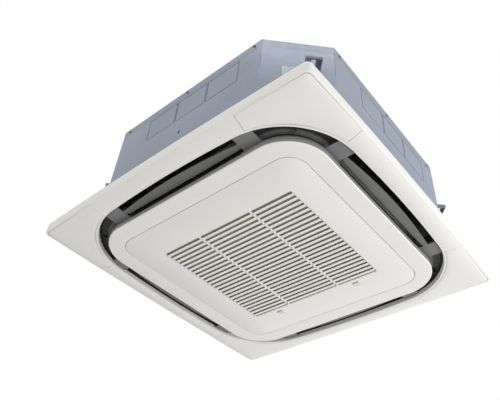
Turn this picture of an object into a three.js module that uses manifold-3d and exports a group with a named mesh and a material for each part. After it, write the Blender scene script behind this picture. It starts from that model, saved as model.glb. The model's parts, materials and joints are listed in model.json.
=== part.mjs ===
// Ceiling cassette air conditioner with a square decoration panel and an all-round air outlet.
// Millimetres, +Z up. Origin: the unit's vertical centre line where it crosses the finished ceiling.
// The casing stands above the ceiling line, the decoration panel hangs below it.
// Slats run along X, the suction grille hinges at its -Y edge and latches at its +Y edge,
// and the pipes leave through the chamfered corner at -X +Y.

import * as THREE from 'three';
import { mergeVertices } from 'three/addons/utils/BufferGeometryUtils.js';
import Module from 'manifold-3d';

const wasm = await Module();
wasm.setup();

// ---------------------------------------------------------------- driving dimensions

const FIT_GAP = 0.3; // between pieces that touch on the real unit
const SHELL_WALL = 2.5; // moulded panel parts
const SHEET = 1.2; // galvanised sheet
const MERGE = 0.005; // shortest edge kept
const RAY_SPACING = 0.008; // radians, the least step round the centre line

const panel = {
  side: 950, // across the middle of the bowed sides
  bow: 5, // each side bows out this much
  corner: 14,
  rimHeight: 30,
  faceDrop: 6, // how far the face slopes down from the rim to the outlet
  depth: 50, // ceiling line to the lowest face
  edgeBreak: 2,
};

const outlet = {
  half: 420,
  bow: 6, // the outer edge bows out this much at mid side
  corner: 215,
  lipWidth: 7,
  whiteWall: 14,
  throatHalf: 400,
  throatCorner: 205,
};

const ring = {
  half: 370,
  corner: 120,
  sideWall: 16,
  edgeRound: 4,
  throatHalf: 346,
};

const panelBackHeight = 20; // how far the panel's throats reach up above the ceiling line

const grille = {
  half: 316,
  corner: 55,
  seam: 1.5,
  plate: 3,
  wallHeight: 9,
  slatFieldX: 458,
  slatFieldY: 430,
  slotCount: 25,
  slatWidth: 10.6,
  slatLean: 3.5,
  slatHeight: 8,
  ribWidth: 5,
  ribOffset: 92.5,
  railHeight: 6,
};

const grilleHinge = {
  inset: 50, // axis to the grille's edge, so that the rounded corners swing up clear of the ring
  rise: 7, // axis above the grille's lower face
  pinRadius: 2,
  pinLength: 31,
  offsetX: 150,
  knuckleRadius: 3,
  knuckleWidth: 20,
  armWidth: 3,
  armRadius: 3.7, // the arm's rounded end turns clear of the grille's plate
  beamHeight: 4,
  headroom: 59,
  notchMargin: 4,
};

const latch = {
  offsetX: 144,
  tabWidth: 22,
  tabLength: 9,
  travel: 8,
  barWidth: 16,
  barThick: 3,
  tipInset: 2.2, // the tongue's tip lies within the grille's wall
  fromSlats: 7,
};

const filter = {
  overlap: 12, // beyond the slat field on every side
  mat: 1,
  frameWidth: 8,
  height: 5,
  ribCount: 4,
  ribWidth: 3,
};

const cover = {
  reachMin: 253, // radial end of a corner cover, at the outlet
  reachMax: 262, // and at the rim
  thick: 2.5,
  headroom: 4.3,
  shelf: 2.2,
  seamInset: 0.045, // share of the face's width left outside the cover
  pegRadius: 4,
  pegInset: 30, // from the panel's edge
  pegAlong: 300,
};

const flap = {
  length: 415.4,
  innerEdge: 379,
  midWidth: 29,
  endWidth: 17,
  neckWidth: 13,
  neckLength: 10,
  thick: 2.5,
  recess: 1.5, // lower face above the rim's lower edge
  pivotX: 391,
  pivotRise: 15, // pivot above the blade's lower face
  armThick: 3,
  armRadius: 5,
  pinRadius: 3,
  pinReach: 8,
};

const cornerBlock = {
  start: 208,
  length: 54,
  faceRecess: 2, // lower face above the rim's lower edge
  topZ: 2,
  webLow: 16, // recessed middle, above the rim's lower edge
  webThick: 6,
  fin: 3,
  finDrop: 10,
  ringGap: 1.4,
  wallGap: 1.4, // to the panel frame, whose wall is cut into longer straight runs
};

const flapMotor = {
  radius: 12,
  length: 20,
  pocketWall: 3.5,
  plugWidth: 10,
  plugHeight: 6,
};

const casing = {
  half: 420,
  leg: 140, // each corner is cut off by this much on both sides
  bottomZ: 28,
  height: 298,
  flange: 21,
};

const knockOut = {
  width: 116,
  height: 88,
  pitch: 119,
  offset: 27, // the row's middle from the side's middle
  belowTop: 36,
  groove: 2.4,
  depth: 0.6,
};

const liner = {
  thick: 20,
  topGap: 22,
};

const topDish = {
  radius: 125,
  depth: 23,
  sheet: 1.7,
};

const pan = {
  innerRadius: 236,
  outerHalf: 343,
  outerCorner: 112,
  height: 44,
  wall: 10,
  floor: 14,
};

const bell = {
  throatRadius: 165,
  mouthRadius: 225,
  flangeRadius: 245,
  topZ: 92,
  wall: 2.5,
};

const fan = {
  eyeRadius: 171,
  radius: 238,
  eyeZ: 84,
  shroudZ: 128,
  hubZ: 236,
  plate: 3,
  domeRadius: 95,
  domeZ: 172,
  bossRadius: 20,
  bossZ: 140,
  bossTopZ: 161,
  bladeCount: 7,
  bladeInner: 152,
  bladeSweep: 38, // degrees that a blade leans back from root to tip
  bladeThick: 3.5,
};

const shaft = {
  radius: 8,
  lowZ: 126,
};

const motor = {
  radius: 80,
  lowZ: 178,
  height: 92,
  flangeRadius: 98,
  flangeThick: 4,
  bushRadius: 11,
  bushCircle: 86,
  bushCount: 3,
};

const coil = {
  outerHalf: 328,
  corner: 100,
  thick: 38,
  height: 252,
  endAt: 190, // the coil stops this far from the centre line beside the pipe corner
};

const pump = {
  offset: 285, // along both X and Y
  radius: 38,
  lowZ: 84,
  height: 56,
  inletRadius: 9,
};

const drainHose = {
  radius: 7.2,
};

const drainSocket = {
  y: 250,
  z: 196,
  outerRadius: 16,
  innerRadius: 13,
  length: 62,
  collarRadius: 22,
  collarThick: 4,
};

const floatSwitch = {
  offsetX: 318,
  offsetY: 236,
  stemRadius: 3.5,
  stemHeight: 46,
  floatRadius: 10,
  floatHeight: 12,
  headRadius: 8,
  lift: 10,
};

const controlBox = {
  halfWidth: 165,
  nearY: 232,
  farY: 291,
  lowZ: -22,
  sheet: 1.5,
};

const pipe = {
  gasRadius: 7.95,
  liquidRadius: 4.75,
  gasZ: 262,
  liquidZ: 240,
  spread: 15, // each pipe crosses the chamfer this far from its middle, in X and in Y
  stub: 44,
  nutLength: 22,
  nutAcross: 1.75, // of the pipe's radius
};

const pipeCover = {
  width: 120,
  lowZ: 212,
  highZ: 296,
  thick: 2,
  openingMargin: 12,
};

const hanger = {
  pitchX: 780,
  pitchY: 680,
  lugZ: 203,
  lugReach: 46,
  lugWidth: 44,
  plateWidth: 84,
  plateLowZ: 31,
  plateHighZ: 209,
  sheet: 3,
  slotWidth: 12,
  slotLength: 30,
  lip: 8,
  cheek: 14,
  tabReach: 52,
  tabWidth: 28,
};

const panelScrew = {
  diagonal: 535,
  radius: 2.5,
  headRadius: 5,
  headHeight: 3,
  holeGap: 0.4,
  above: 4,
};

const wiring = {
  y: -250,
  z: 120,
  radius: 14,
  flange: 19,
  thick: 3,
};

const drainPlug = {
  x: -262,
  y: 262,
  radius: 12,
  headRadius: 15,
};

// ---------------------------------------------------------------- derived heights

const rimZ = -panel.rimHeight;
const lipZ = rimZ - panel.faceDrop;
const lowZ = -panel.depth;
const wallTopZ = lipZ + outlet.whiteWall;
const ringStepZ = lowZ + ring.sideWall;
const casingTopZ = casing.bottomZ + casing.height;
const topPlateZ = casingTopZ - topDish.sheet;
const panTopZ = casing.bottomZ + pan.height;
const coilLowZ = casing.bottomZ + pan.floor + FIT_GAP;
const bladeZ = rimZ + flap.recess;
const pivotZ = bladeZ + flap.pivotRise;
const hingeY = grilleHinge.inset - grille.half;
const hingeZ = lowZ + grilleHinge.rise;
const chamferReach = (2 * casing.half - casing.leg) / Math.SQRT2;

// ---------------------------------------------------------------- looks

const look = (color, roughness, metalness) => ({ color, roughness, metalness });
const white = look(0xe9e8e4, 0.45, 0);
const greyPlastic = look(0x6d6e6b, 0.5, 0);
const blockGrey = look(0x787677, 0.5, 0);
const blackPlastic = look(0x232323, 0.55, 0);
const galvanised = look(0xa4adb8, 0.42, 0.7);
const darkSteel = look(0x3a3a3c, 0.5, 0.6);
const foam = look(0xf1f0ea, 0.9, 0);
const foamDark = look(0x35363a, 0.95, 0);
const copper = look(0xb87345, 0.35, 1);
const brass = look(0xc9a24d, 0.35, 1);
const aluminium = look(0xc6c9cc, 0.4, 0.9);
const rubber = look(0x1d1d1f, 0.8, 0);
const steel = look(0xb9bcc0, 0.3, 1);
const filterGrey = look(0x55585a, 0.8, 0);

// ---------------------------------------------------------------- solids

// Closed mesh from any geometry: shared vertices merged, slivers dropped, faces pointing out.
function solidOf(geometry) {
  const bare = geometry.clone();
  bare.deleteAttribute('normal');
  bare.deleteAttribute('uv');
  const merged = mergeVertices(bare, 1e-4);
  const p = merged.attributes.position.array;
  const faces = [];
  let volume = 0;
  for (let i = 0; i < merged.index.count; i += 3) {
    const [a, b, c] = [0, 1, 2].map((k) => merged.index.getX(i + k));
    if (a === b || b === c || a === c) continue;
    faces.push(a, b, c);
    const [va, vb, vc] = [a, b, c].map((v) => new THREE.Vector3().fromArray(p, 3 * v));
    volume += va.dot(vb.cross(vc)) / 6;
  }
  if (volume < 0) faces.reverse();
  return new wasm.Manifold(new wasm.Mesh({
    numProp: 3,
    vertProperties: new Float32Array(p),
    triVerts: new Uint32Array(faces),
  }));
}

// Edges shorter than the merge distance are collapsed on the way out.
function geometryOf(solid) {
  const mesh = solid.simplify(MERGE).getMesh();
  const geometry = new THREE.BufferGeometry();
  geometry.setAttribute('position', new THREE.BufferAttribute(new Float32Array(mesh.vertProperties), 3));
  geometry.setIndex([...mesh.triVerts]);
  geometry.computeVertexNormals();
  return geometry;
}

const joined = (...solids) => solids.flat().reduce((a, b) => a.add(b));
const cutBy = (body, ...tools) => tools.flat().reduce((a, b) => a.subtract(b), body);

// Box from its lowest to its highest corner.
function box(x0, x1, y0, y1, z0, z1) {
  const geometry = new THREE.BoxGeometry(x1 - x0, y1 - y0, z1 - z0);
  geometry.translate((x0 + x1) / 2, (y0 + y1) / 2, (z0 + z1) / 2);
  return solidOf(geometry);
}

// Prism of a plan outline, given as [x, y] points or as a THREE.Shape.
function prism(outline, z0, z1, curveSegments = 8) {
  const shape = outline instanceof THREE.Shape
    ? outline
    : new THREE.Shape(outline.map(([x, y]) => new THREE.Vector2(x, y)));
  const geometry = new THREE.ExtrudeGeometry(shape, { depth: z1 - z0, bevelEnabled: false, curveSegments });
  geometry.translate(0, 0, z0);
  return solidOf(geometry);
}

// Cylinder along 'x', 'y' or 'z' between two stations, centred at the other two coordinates.
function rod(axis, from, to, centre, radius, sides = 16) {
  const geometry = new THREE.CylinderGeometry(radius, radius, to - from, sides);
  const middle = (from + to) / 2;
  if (axis === 'x') geometry.rotateZ(Math.PI / 2).translate(middle, centre[0], centre[1]);
  if (axis === 'y') geometry.translate(centre[0], middle, centre[1]);
  if (axis === 'z') geometry.rotateX(Math.PI / 2).translate(centre[0], centre[1], middle);
  return solidOf(geometry);
}

// Body of revolution about Z from a closed [radius, z] profile.
function turned(profile, sides = 48) {
  const points = [...profile, profile[0]].map(([r, z]) => new THREE.Vector2(r, z));
  const geometry = new THREE.LatheGeometry(points, sides);
  geometry.rotateX(Math.PI / 2);
  return solidOf(geometry);
}

const moved = (solid, matrix) => solid.transform(matrix.elements);
const turnZ = (solid, quarter) => moved(solid, new THREE.Matrix4().makeRotationZ((quarter * Math.PI) / 2));

const corners = [[1, 1], [-1, 1], [-1, -1], [1, -1]];
const pipeCorner = [-1, 1];

// Plan coordinates of a corner: local +X points out along the diagonal, from the chamfer plane.
function cornerFrame(signX, signY, reach = chamferReach) {
  const angle = Math.atan2(signY, signX);
  const turn = new THREE.Matrix4().makeRotationZ(angle);
  const out = new THREE.Vector3(Math.cos(angle), Math.sin(angle), 0).multiplyScalar(reach);
  return turn.setPosition(out);
}

// ---------------------------------------------------------------- loops round the centre line

// A loop is a plan outline with four-fold symmetry, read along rays from the centre.
const rounded = (half, corner, bow = 0) => ({ kind: 'rounded', half, corner, bow });
const octagon = (half, leg) => ({ kind: 'octagon', half, leg });
const circle = (radius) => ({ kind: 'circle', radius });
const between = (a, b, share) => ({ kind: 'between', a, b, share });

const grow = (loop, by) => rounded(loop.half + by, loop.corner + by, loop.bow);
const insetOctagon = (half, leg, by) => octagon(half - by, leg - (2 - Math.SQRT2) * by);

// Distance from the centre to the loop along a ray at angle a, 0 to 45 degrees off a side's normal.
function reach(loop, a) {
  const [c, s] = [Math.cos(a), Math.sin(a)];
  if (loop.kind === 'circle') return loop.radius;
  if (loop.kind === 'between') {
    return (1 - loop.share) * reach(loop.a, a) + loop.share * reach(loop.b, a);
  }
  if (loop.kind === 'octagon') return Math.min(loop.half / c, (2 * loop.half - loop.leg) / (c + s));
  const straight = loop.half - loop.corner;
  const curve = (loop.bow * (s / c) ** 2) / straight ** 2;
  const crown = loop.half + loop.bow;
  const x = curve > 0 ? (Math.sqrt(1 + 4 * curve * crown) - 1) / (2 * curve) : crown;
  if ((x * s) / c <= straight) return x / c;
  const along = straight * (c + s);
  return along + Math.sqrt(along ** 2 - 2 * straight ** 2 + loop.corner ** 2);
}

// Ray angles in one octant at which a loop bends; wide corners take more steps.
function bends(loop) {
  if (loop.kind === 'circle') return [0, 1, 2, 3].map((i) => (i * Math.PI) / 16);
  if (loop.kind === 'octagon') return [Math.atan2(loop.half - loop.leg, loop.half)];
  const straight = loop.half - loop.corner;
  const steps = THREE.MathUtils.clamp(Math.round(Math.sqrt(loop.corner) / 3), 2, 4);
  const angles = [];
  for (let i = 0; i < steps; i += 1) {
    const turn = (i * Math.PI) / 4 / steps;
    const x = straight + loop.corner * Math.cos(turn);
    angles.push(Math.atan2(straight + loop.corner * Math.sin(turn), x));
  }
  if (loop.bow > 0) angles.push(angles[0] / 3, (2 * angles[0]) / 3);
  return angles;
}

// Rays all the way round that meet the bends of the guide loops; the first guides come first.
function raysAlong(guides) {
  const octant = [0, Math.PI / 4];
  guides.flatMap(bends).forEach((a) => {
    if (octant.every((kept) => Math.abs(kept - a) > RAY_SPACING)) octant.push(a);
  });
  octant.sort((a, b) => a - b);
  const quarter = [...octant, ...octant.slice(1, -1).reverse().map((a) => Math.PI / 2 - a)];
  const rays = [];
  for (let q = 0; q < 4; q += 1) {
    quarter.forEach((a) => rays.push({ fold: Math.min(a, Math.PI / 2 - a), angle: a + (q * Math.PI) / 2 }));
  }
  return rays;
}

// Prism of a loop's outline.
function loopPlate(loop, z0, z1) {
  const outline = raysAlong([loop]).map(({ fold, angle }) => {
    const r = reach(loop, fold);
    return [r * Math.cos(angle), r * Math.sin(angle)];
  });
  return prism(outline, z0, z1);
}

// Closed body whose section is a polygon of [loop, z] points, carried round the centre line.
function loopBody(section, guides = [section[0][0]]) {
  const rays = raysAlong(guides);
  const positions = [];
  rays.forEach(({ fold, angle }) => {
    section.forEach(([loop, z]) => {
      const r = reach(loop, fold);
      positions.push(r * Math.cos(angle), r * Math.sin(angle), z);
    });
  });
  const index = [];
  const n = section.length;
  for (let i = 0; i < rays.length; i += 1) {
    const next = ((i + 1) % rays.length) * n;
    for (let k = 0; k < n; k += 1) {
      const up = (k + 1) % n;
      index.push(i * n + k, next + k, next + up, i * n + k, next + up, i * n + up);
    }
  }
  const geometry = new THREE.BufferGeometry();
  geometry.setAttribute('position', new THREE.BufferAttribute(new Float32Array(positions), 3));
  geometry.setIndex(index);
  return solidOf(geometry);
}

// The two walls of the air outlet at a height: the panel frame's and the inner ring's.
function outletWall(z, off = 0) {
  const share = THREE.MathUtils.clamp((z - wallTopZ) / (panelBackHeight - wallTopZ), 0, 1);
  const mouth = rounded(outlet.half + off, outlet.corner + off, outlet.bow);
  return between(mouth, rounded(outlet.throatHalf + off, outlet.throatCorner + off), share);
}

function ringLoop(half) {
  return rounded(half, ring.corner + half - ring.half);
}

function ringWall(z, off = 0) {
  const share = THREE.MathUtils.clamp((z - ringStepZ) / (panelBackHeight - ringStepZ), 0, 1);
  return between(ringLoop(ring.half + off), ringLoop(ring.throatHalf + off), share);
}

// ---------------------------------------------------------------- decoration panel

const rimOuter = rounded(panel.side / 2 - panel.bow, panel.corner, panel.bow);
const faceOuter = grow(rimOuter, -panel.edgeBreak);
const outletLip = rounded(outlet.half, outlet.corner, outlet.bow);
const faceInner = grow(outletLip, outlet.lipWidth);
const faceGuides = [outletLip, rimOuter];
const ringOpening = rounded(grille.half + grille.seam, grille.corner + grille.seam);
const ringGuides = [outletLip, ringOpening];

const faceSlope = panel.faceDrop / (faceOuter.half + panel.bow - faceInner.half - outlet.bow);

// Slab that follows the sloping face, between two shares of its width and two offsets above it.
function faceSlab(shareOut, shareIn, low, high) {
  const out = between(faceOuter, faceInner, shareOut);
  const inn = between(faceOuter, faceInner, shareIn);
  const zOut = rimZ - panel.faceDrop * shareOut;
  const zIn = rimZ - panel.faceDrop * shareIn;
  const section = [[out, zOut + low], [inn, zIn + low], [inn, zIn + high], [out, zOut + high]];
  return loopBody(section, faceGuides);
}

// Height of the sloping face above or below a plan point.
function faceHeight(x, y) {
  const fold = Math.atan2(Math.min(Math.abs(x), Math.abs(y)), Math.max(Math.abs(x), Math.abs(y)));
  const [far, near] = [reach(faceOuter, fold), reach(faceInner, fold)];
  return rimZ - (panel.faceDrop * (far - Math.hypot(x, y))) / (far - near);
}

// Plan region of the corner at +X -Y, with slanted radial ends, grown or shrunk by an offset.
function cornerRegion(off) {
  const [a, b] = [cover.reachMin - off, cover.reachMax - off];
  const far = panel.side;
  const shape = [[a, -300], [a, -outlet.half], [b, -panel.side / 2], [b, -far], [far, -far],
    [far, -b], [panel.side / 2, -b], [outlet.half, -a], [300, -a]];
  return prism(shape, 2 * lowZ, -lowZ);
}

function screwPlace(signX, signY) {
  return [(signX * panelScrew.diagonal) / Math.SQRT2, (signY * panelScrew.diagonal) / Math.SQRT2];
}

const shelfLow = cover.thick + cover.headroom;

function panelFrame() {
  const rimInner = grow(rimOuter, -SHELL_WALL);
  let body = loopBody([
    [rimOuter, 0],
    [rimOuter, rimZ + panel.edgeBreak],
    [faceOuter, rimZ],
    [faceInner, lipZ],
    [outletLip, lipZ],
    [outletLip, wallTopZ],
    [rounded(outlet.throatHalf, outlet.throatCorner), panelBackHeight],
    [rounded(outlet.throatHalf + SHELL_WALL, outlet.throatCorner + SHELL_WALL), panelBackHeight],
    [grow(outletLip, SHELL_WALL), wallTopZ],
    [grow(outletLip, SHELL_WALL), lipZ + SHELL_WALL],
    [rimInner, rimZ + SHELL_WALL],
    [rimInner, 0],
  ], faceGuides);
  const tray = faceSlab(0.012, 0.997, 1, shelfLow + cover.shelf);
  const recess = faceSlab(cover.seamInset - 0.005, 0.994, -5, shelfLow);
  const trayRegion = cornerRegion(SHELL_WALL);
  const recessRegion = cornerRegion(0);
  for (let q = 0; q < 4; q += 1) {
    body = body.add(tray.intersect(turnZ(trayRegion, q)));
    body = body.subtract(recess.intersect(turnZ(recessRegion, q)));
  }
  const holes = corners.map(([sx, sy]) => rod('z', lowZ, 0, screwPlace(sx, sy),
    panelScrew.radius + panelScrew.holeGap, 12));
  return cutBy(body, holes);
}

function cornerCover(quarter) {
  const slab = faceSlab(cover.seamInset, 0.985, 0, cover.thick);
  const plate = slab.intersect(turnZ(cornerRegion(-FIT_GAP), quarter));
  const out = rimOuter.half - cover.pegInset;
  const pegs = [[out, -cover.pegAlong], [cover.pegAlong, -out], [out, -out]].map(([x, y]) => {
    const face = faceHeight(x, y);
    const top = face + shelfLow - FIT_GAP - cover.pegRadius * faceSlope;
    return turnZ(rod('z', face + 1, top, [x, y], cover.pegRadius, 8), quarter);
  });
  return joined(plate, pegs);
}

function innerRing() {
  const flangeTop = lowZ + grille.plate + grille.wallHeight + 2;
  const body = loopBody([
    [ringOpening, lowZ],
    [ringLoop(ring.half - ring.edgeRound), lowZ],
    [ringLoop(ring.half), lowZ + ring.edgeRound],
    [ringLoop(ring.half), ringStepZ],
    [ringLoop(ring.throatHalf), panelBackHeight],
    [ringLoop(ring.throatHalf - SHELL_WALL), panelBackHeight],
    [ringLoop(ring.half - SHELL_WALL), ringStepZ],
    [ringLoop(ring.half - ring.edgeRound), lowZ + SHELL_WALL],
    [grow(ringOpening, SHELL_WALL), lowZ + SHELL_WALL],
    [grow(ringOpening, SHELL_WALL), flangeTop],
    [ringOpening, flangeTop],
  ], ringGuides);
  return joined(body, hingeArms(flangeTop));
}

// Pairs of arms that stand on the ring's inner flange and reach over to the grille's hinge pins.
function hingeArms(flangeTop) {
  const edge = -(grille.half + grille.seam);
  const topZ = lowZ + grille.plate + grilleHinge.headroom;
  const spread = grilleHinge.knuckleWidth / 2 + FIT_GAP + grilleHinge.armWidth / 2;
  const arms = [];
  [-1, 1].forEach((side) => [-1, 1].forEach((flank) => {
    const x = side * grilleHinge.offsetX + flank * spread;
    const [x0, x1] = [x - grilleHinge.armWidth / 2, x + grilleHinge.armWidth / 2];
    const front = hingeY + grilleHinge.armRadius;
    const post = box(x0, x1, edge - SHELL_WALL, edge, flangeTop - 1, topZ);
    const beam = box(x0, x1, edge - SHELL_WALL, front, topZ - grilleHinge.beamHeight, topZ);
    const arm = box(x0, x1, hingeY - grilleHinge.armRadius, front, hingeZ, topZ);
    const end = rod('x', x0, x1, [hingeY, hingeZ], grilleHinge.armRadius, 20);
    const hole = rod('x', x0 - 1, x1 + 1, [hingeY, hingeZ], grilleHinge.pinRadius + FIT_GAP, 12);
    arms.push(joined(post, beam, arm, end).subtract(hole));
  }));
  return arms;
}

// ---------------------------------------------------------------- suction grille

const slotPitch = grille.slatFieldY / grille.slotCount;

function slats() {
  const halfX = grille.slatFieldX / 2 + 1;
  const blades = [];
  for (let i = 1; i < grille.slotCount; i += 1) {
    const y = -grille.slatFieldY / 2 + i * slotPitch - grille.slatWidth / 2;
    const section = new THREE.Shape([
      new THREE.Vector2(y, lowZ),
      new THREE.Vector2(y + grille.slatWidth, lowZ),
      new THREE.Vector2(y + grille.slatWidth + grille.slatLean, lowZ + grille.slatHeight),
      new THREE.Vector2(y + grille.slatLean + grille.slatWidth / 2, lowZ + grille.slatHeight),
    ]);
    const blade = new THREE.ExtrudeGeometry(section, { depth: 2 * halfX, bevelEnabled: false });
    blade.applyMatrix4(new THREE.Matrix4().makeBasis(
      new THREE.Vector3(0, 1, 0), new THREE.Vector3(0, 0, 1), new THREE.Vector3(1, 0, 0)));
    blade.translate(-halfX, 0, 0);
    blades.push(solidOf(blade));
  }
  return blades;
}

function latchSlot(side) {
  const y0 = grille.slatFieldY / 2 + latch.fromSlats;
  return {
    x: side * latch.offsetX,
    y0,
    y1: y0 + latch.tabLength + latch.travel + 2 * FIT_GAP,
  };
}

function suctionGrille() {
  const [hx, hy] = [grille.slatFieldX / 2, grille.slatFieldY / 2];
  const plateTop = lowZ + grille.plate;
  const wallTop = plateTop + grille.wallHeight;
  const outer = rounded(grille.half, grille.corner);
  const plate = loopPlate(outer, lowZ, plateTop);
  const wall = loopBody([
    [outer, plateTop - 1],
    [outer, wallTop],
    [grow(outer, -SHELL_WALL), wallTop],
    [grow(outer, -SHELL_WALL), plateTop - 1],
  ]);
  const field = box(-hx, hx, -hy, hy, lowZ - 1, wallTop);
  const railTop = plateTop + grille.railHeight;
  const rails = box(-hx - SHELL_WALL, hx + SHELL_WALL, -hy - SHELL_WALL, hy + SHELL_WALL,
    plateTop - 1, railTop).subtract(field);
  const ribs = [-1, 1].map((s) => box(s * grille.ribOffset - grille.ribWidth / 2,
    s * grille.ribOffset + grille.ribWidth / 2, -hy - 1, hy + 1, lowZ, railTop - 0.5));
  const knuckles = [-1, 1].map((s) => grilleKnuckle(s * grilleHinge.offsetX));
  const notchHalf = grilleHinge.pinLength / 2 + grilleHinge.notchMargin;
  const notches = [-1, 1].map((s) => box(s * grilleHinge.offsetX - notchHalf,
    s * grilleHinge.offsetX + notchHalf, -grille.half - 1, -grille.half + SHELL_WALL + 1,
    plateTop, wallTop + 1));
  const slots = [-1, 1].flatMap((s) => {
    const slot = latchSlot(s);
    const halfTab = latch.tabWidth / 2 + FIT_GAP;
    const halfBar = latch.barWidth / 2 + FIT_GAP;
    return [
      box(slot.x - halfTab, slot.x + halfTab, slot.y0, slot.y1, lowZ - 1, plateTop + 1),
      box(slot.x - halfBar, slot.x + halfBar, grille.half - SHELL_WALL - 1, grille.half + 1,
        plateTop, plateTop + latch.barThick + 2 * FIT_GAP),
    ];
  });
  const frame = joined(plate.subtract(field), wall, rails).subtract(joined(notches));
  return cutBy(joined(frame, ribs, slats(), knuckles), slots, grillePinHoles());
}

function grilleKnuckle(x) {
  const half = grilleHinge.knuckleWidth / 2;
  const barrel = rod('x', x - half, x + half, [hingeY, hingeZ], grilleHinge.knuckleRadius + 1.5, 12);
  const foot = box(x - half, x + half, hingeY - grilleHinge.knuckleRadius,
    hingeY + grilleHinge.knuckleRadius, lowZ + 1, hingeZ);
  const below = box(x - half - 1, x + half + 1, hingeY - 10, hingeY + 10, lowZ - 10, lowZ);
  return barrel.add(foot).subtract(below);
}

function grillePinHoles() {
  return [-1, 1].map((s) => rod('x', s * grilleHinge.offsetX - grilleHinge.knuckleWidth,
    s * grilleHinge.offsetX + grilleHinge.knuckleWidth, [hingeY, hingeZ],
    grilleHinge.pinRadius + FIT_GAP, 12));
}

function hingePin(side) {
  const x = side * grilleHinge.offsetX;
  const half = grilleHinge.pinLength / 2;
  return rod('x', x - half, x + half, [hingeY, hingeZ], grilleHinge.pinRadius, 12);
}

// Finger tab in its slot, with a bar above the plate that ends in the tongue at the grille's edge.
function grilleLatch(side) {
  const slot = latchSlot(side);
  const plateTop = lowZ + grille.plate;
  const tabEnd = slot.y1 - FIT_GAP;
  const barLow = plateTop + FIT_GAP;
  const tab = box(slot.x - latch.tabWidth / 2, slot.x + latch.tabWidth / 2,
    tabEnd - latch.tabLength, tabEnd, lowZ + 1, barLow + 1);
  const bar = box(slot.x - latch.barWidth / 2, slot.x + latch.barWidth / 2,
    tabEnd - latch.tabLength, grille.half - latch.tipInset, barLow, barLow + latch.barThick - FIT_GAP);
  return tab.add(bar);
}

function airFilter() {
  const hx = grille.slatFieldX / 2 + filter.overlap;
  const hy = grille.slatFieldY / 2 + filter.overlap - 6;
  const z0 = lowZ + grille.plate + grille.railHeight + FIT_GAP;
  const z1 = z0 + filter.height;
  const w = filter.frameWidth;
  const mat = box(-hx + w / 2, hx - w / 2, -hy + w / 2, hy - w / 2, z0 + 0.5, z0 + 0.5 + filter.mat);
  const frame = box(-hx, hx, -hy, hy, z0, z1).subtract(box(-hx + w, hx - w, -hy + w, hy - w, z0 - 1, z1 + 1));
  const ribs = [];
  for (let i = 1; i <= filter.ribCount; i += 1) {
    const x = -hx + (2 * hx * i) / (filter.ribCount + 1);
    const y = -hy + (2 * hy * i) / (filter.ribCount + 1);
    ribs.push(box(x - filter.ribWidth / 2, x + filter.ribWidth / 2, -hy + 1, hy - 1, z0 + 1, z1 - 1));
    ribs.push(box(-hx + 1, hx - 1, y - filter.ribWidth / 2, y + filter.ribWidth / 2, z0 + 1, z1 - 1.5));
  }
  return joined(mat, frame, ribs);
}

// ---------------------------------------------------------------- outlet corners and flaps

// Corner piece of the outlet, at +X +Y: a grey block beside each flap, a recessed web between.
function cornerDuct() {
  const low = rimZ + cornerBlock.faceRecess;
  const high = cornerBlock.topZ;
  const slab = loopBody([
    [ringWall(low, cornerBlock.ringGap), low],
    [outletWall(low, -cornerBlock.wallGap), low],
    [outletWall(wallTopZ, -cornerBlock.wallGap), wallTopZ],
    [outletWall(high, -cornerBlock.wallGap), high],
    [ringWall(high, cornerBlock.ringGap), high],
  ], ringGuides);
  const wedge = (start) => {
    const far = panel.side / 2;
    const shape = [[300, start], [far, start], [far, far], [start, far], [start, 300], [260, 260]];
    return prism(shape, lowZ, -lowZ);
  };
  const webZ = rimZ + cornerBlock.webLow;
  const middle = wedge(cornerBlock.start + cornerBlock.length);
  const [recessLow, recessHigh] = [webZ, webZ + cornerBlock.webThick];
  const web = box(0, panel.side, 0, panel.side, recessLow, recessHigh);
  const blocks = slab.intersect(wedge(cornerBlock.start)).subtract(middle.subtract(web));
  const finReach = [(ring.half + ring.corner * (Math.SQRT1_2 - 1)) * Math.SQRT2 + 1,
    (outlet.half + outlet.corner * (Math.SQRT1_2 - 1)) * Math.SQRT2 - 10];
  const fin = moved(box(finReach[0], finReach[1], -cornerBlock.fin / 2, cornerBlock.fin / 2,
    webZ - cornerBlock.finDrop, webZ + 1), new THREE.Matrix4().makeRotationZ(Math.PI / 4));
  const bore = flap.pinRadius + FIT_GAP;
  const motorBore = rod('y', cornerBlock.start - 1, motorStart() + 1, [flap.pivotX, pivotZ], bore, 12);
  const blindBore = rod('x', cornerBlock.start - 1, cornerBlock.start + flap.pinReach + 1,
    [flap.pivotX, pivotZ], bore, 12);
  return cutBy(blocks.add(fin), motorBore, blindBore, motorPocket());
}

const motorStart = () => cornerBlock.start + flapMotor.pocketWall;

function motorPocket() {
  const r = flapMotor.radius + FIT_GAP;
  const [y0, y1] = [motorStart(), motorStart() + flapMotor.length + flapMotor.plugWidth + 2 * FIT_GAP];
  return box(flap.pivotX - r, flap.pivotX + r, y0, y1, pivotZ - r, cornerBlock.topZ + 1);
}

function flapStepper() {
  const y0 = motorStart() + FIT_GAP;
  const y1 = y0 + flapMotor.length;
  const can = rod('y', y0, y1, [flap.pivotX, pivotZ], flapMotor.radius, 20);
  const plug = box(flap.pivotX - flapMotor.plugWidth / 2, flap.pivotX + flapMotor.plugWidth / 2,
    y1 - 1, y1 + flapMotor.plugWidth - FIT_GAP, pivotZ - flapMotor.plugHeight / 2,
    pivotZ + flapMotor.plugHeight / 2);
  return can.add(plug);
}

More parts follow.
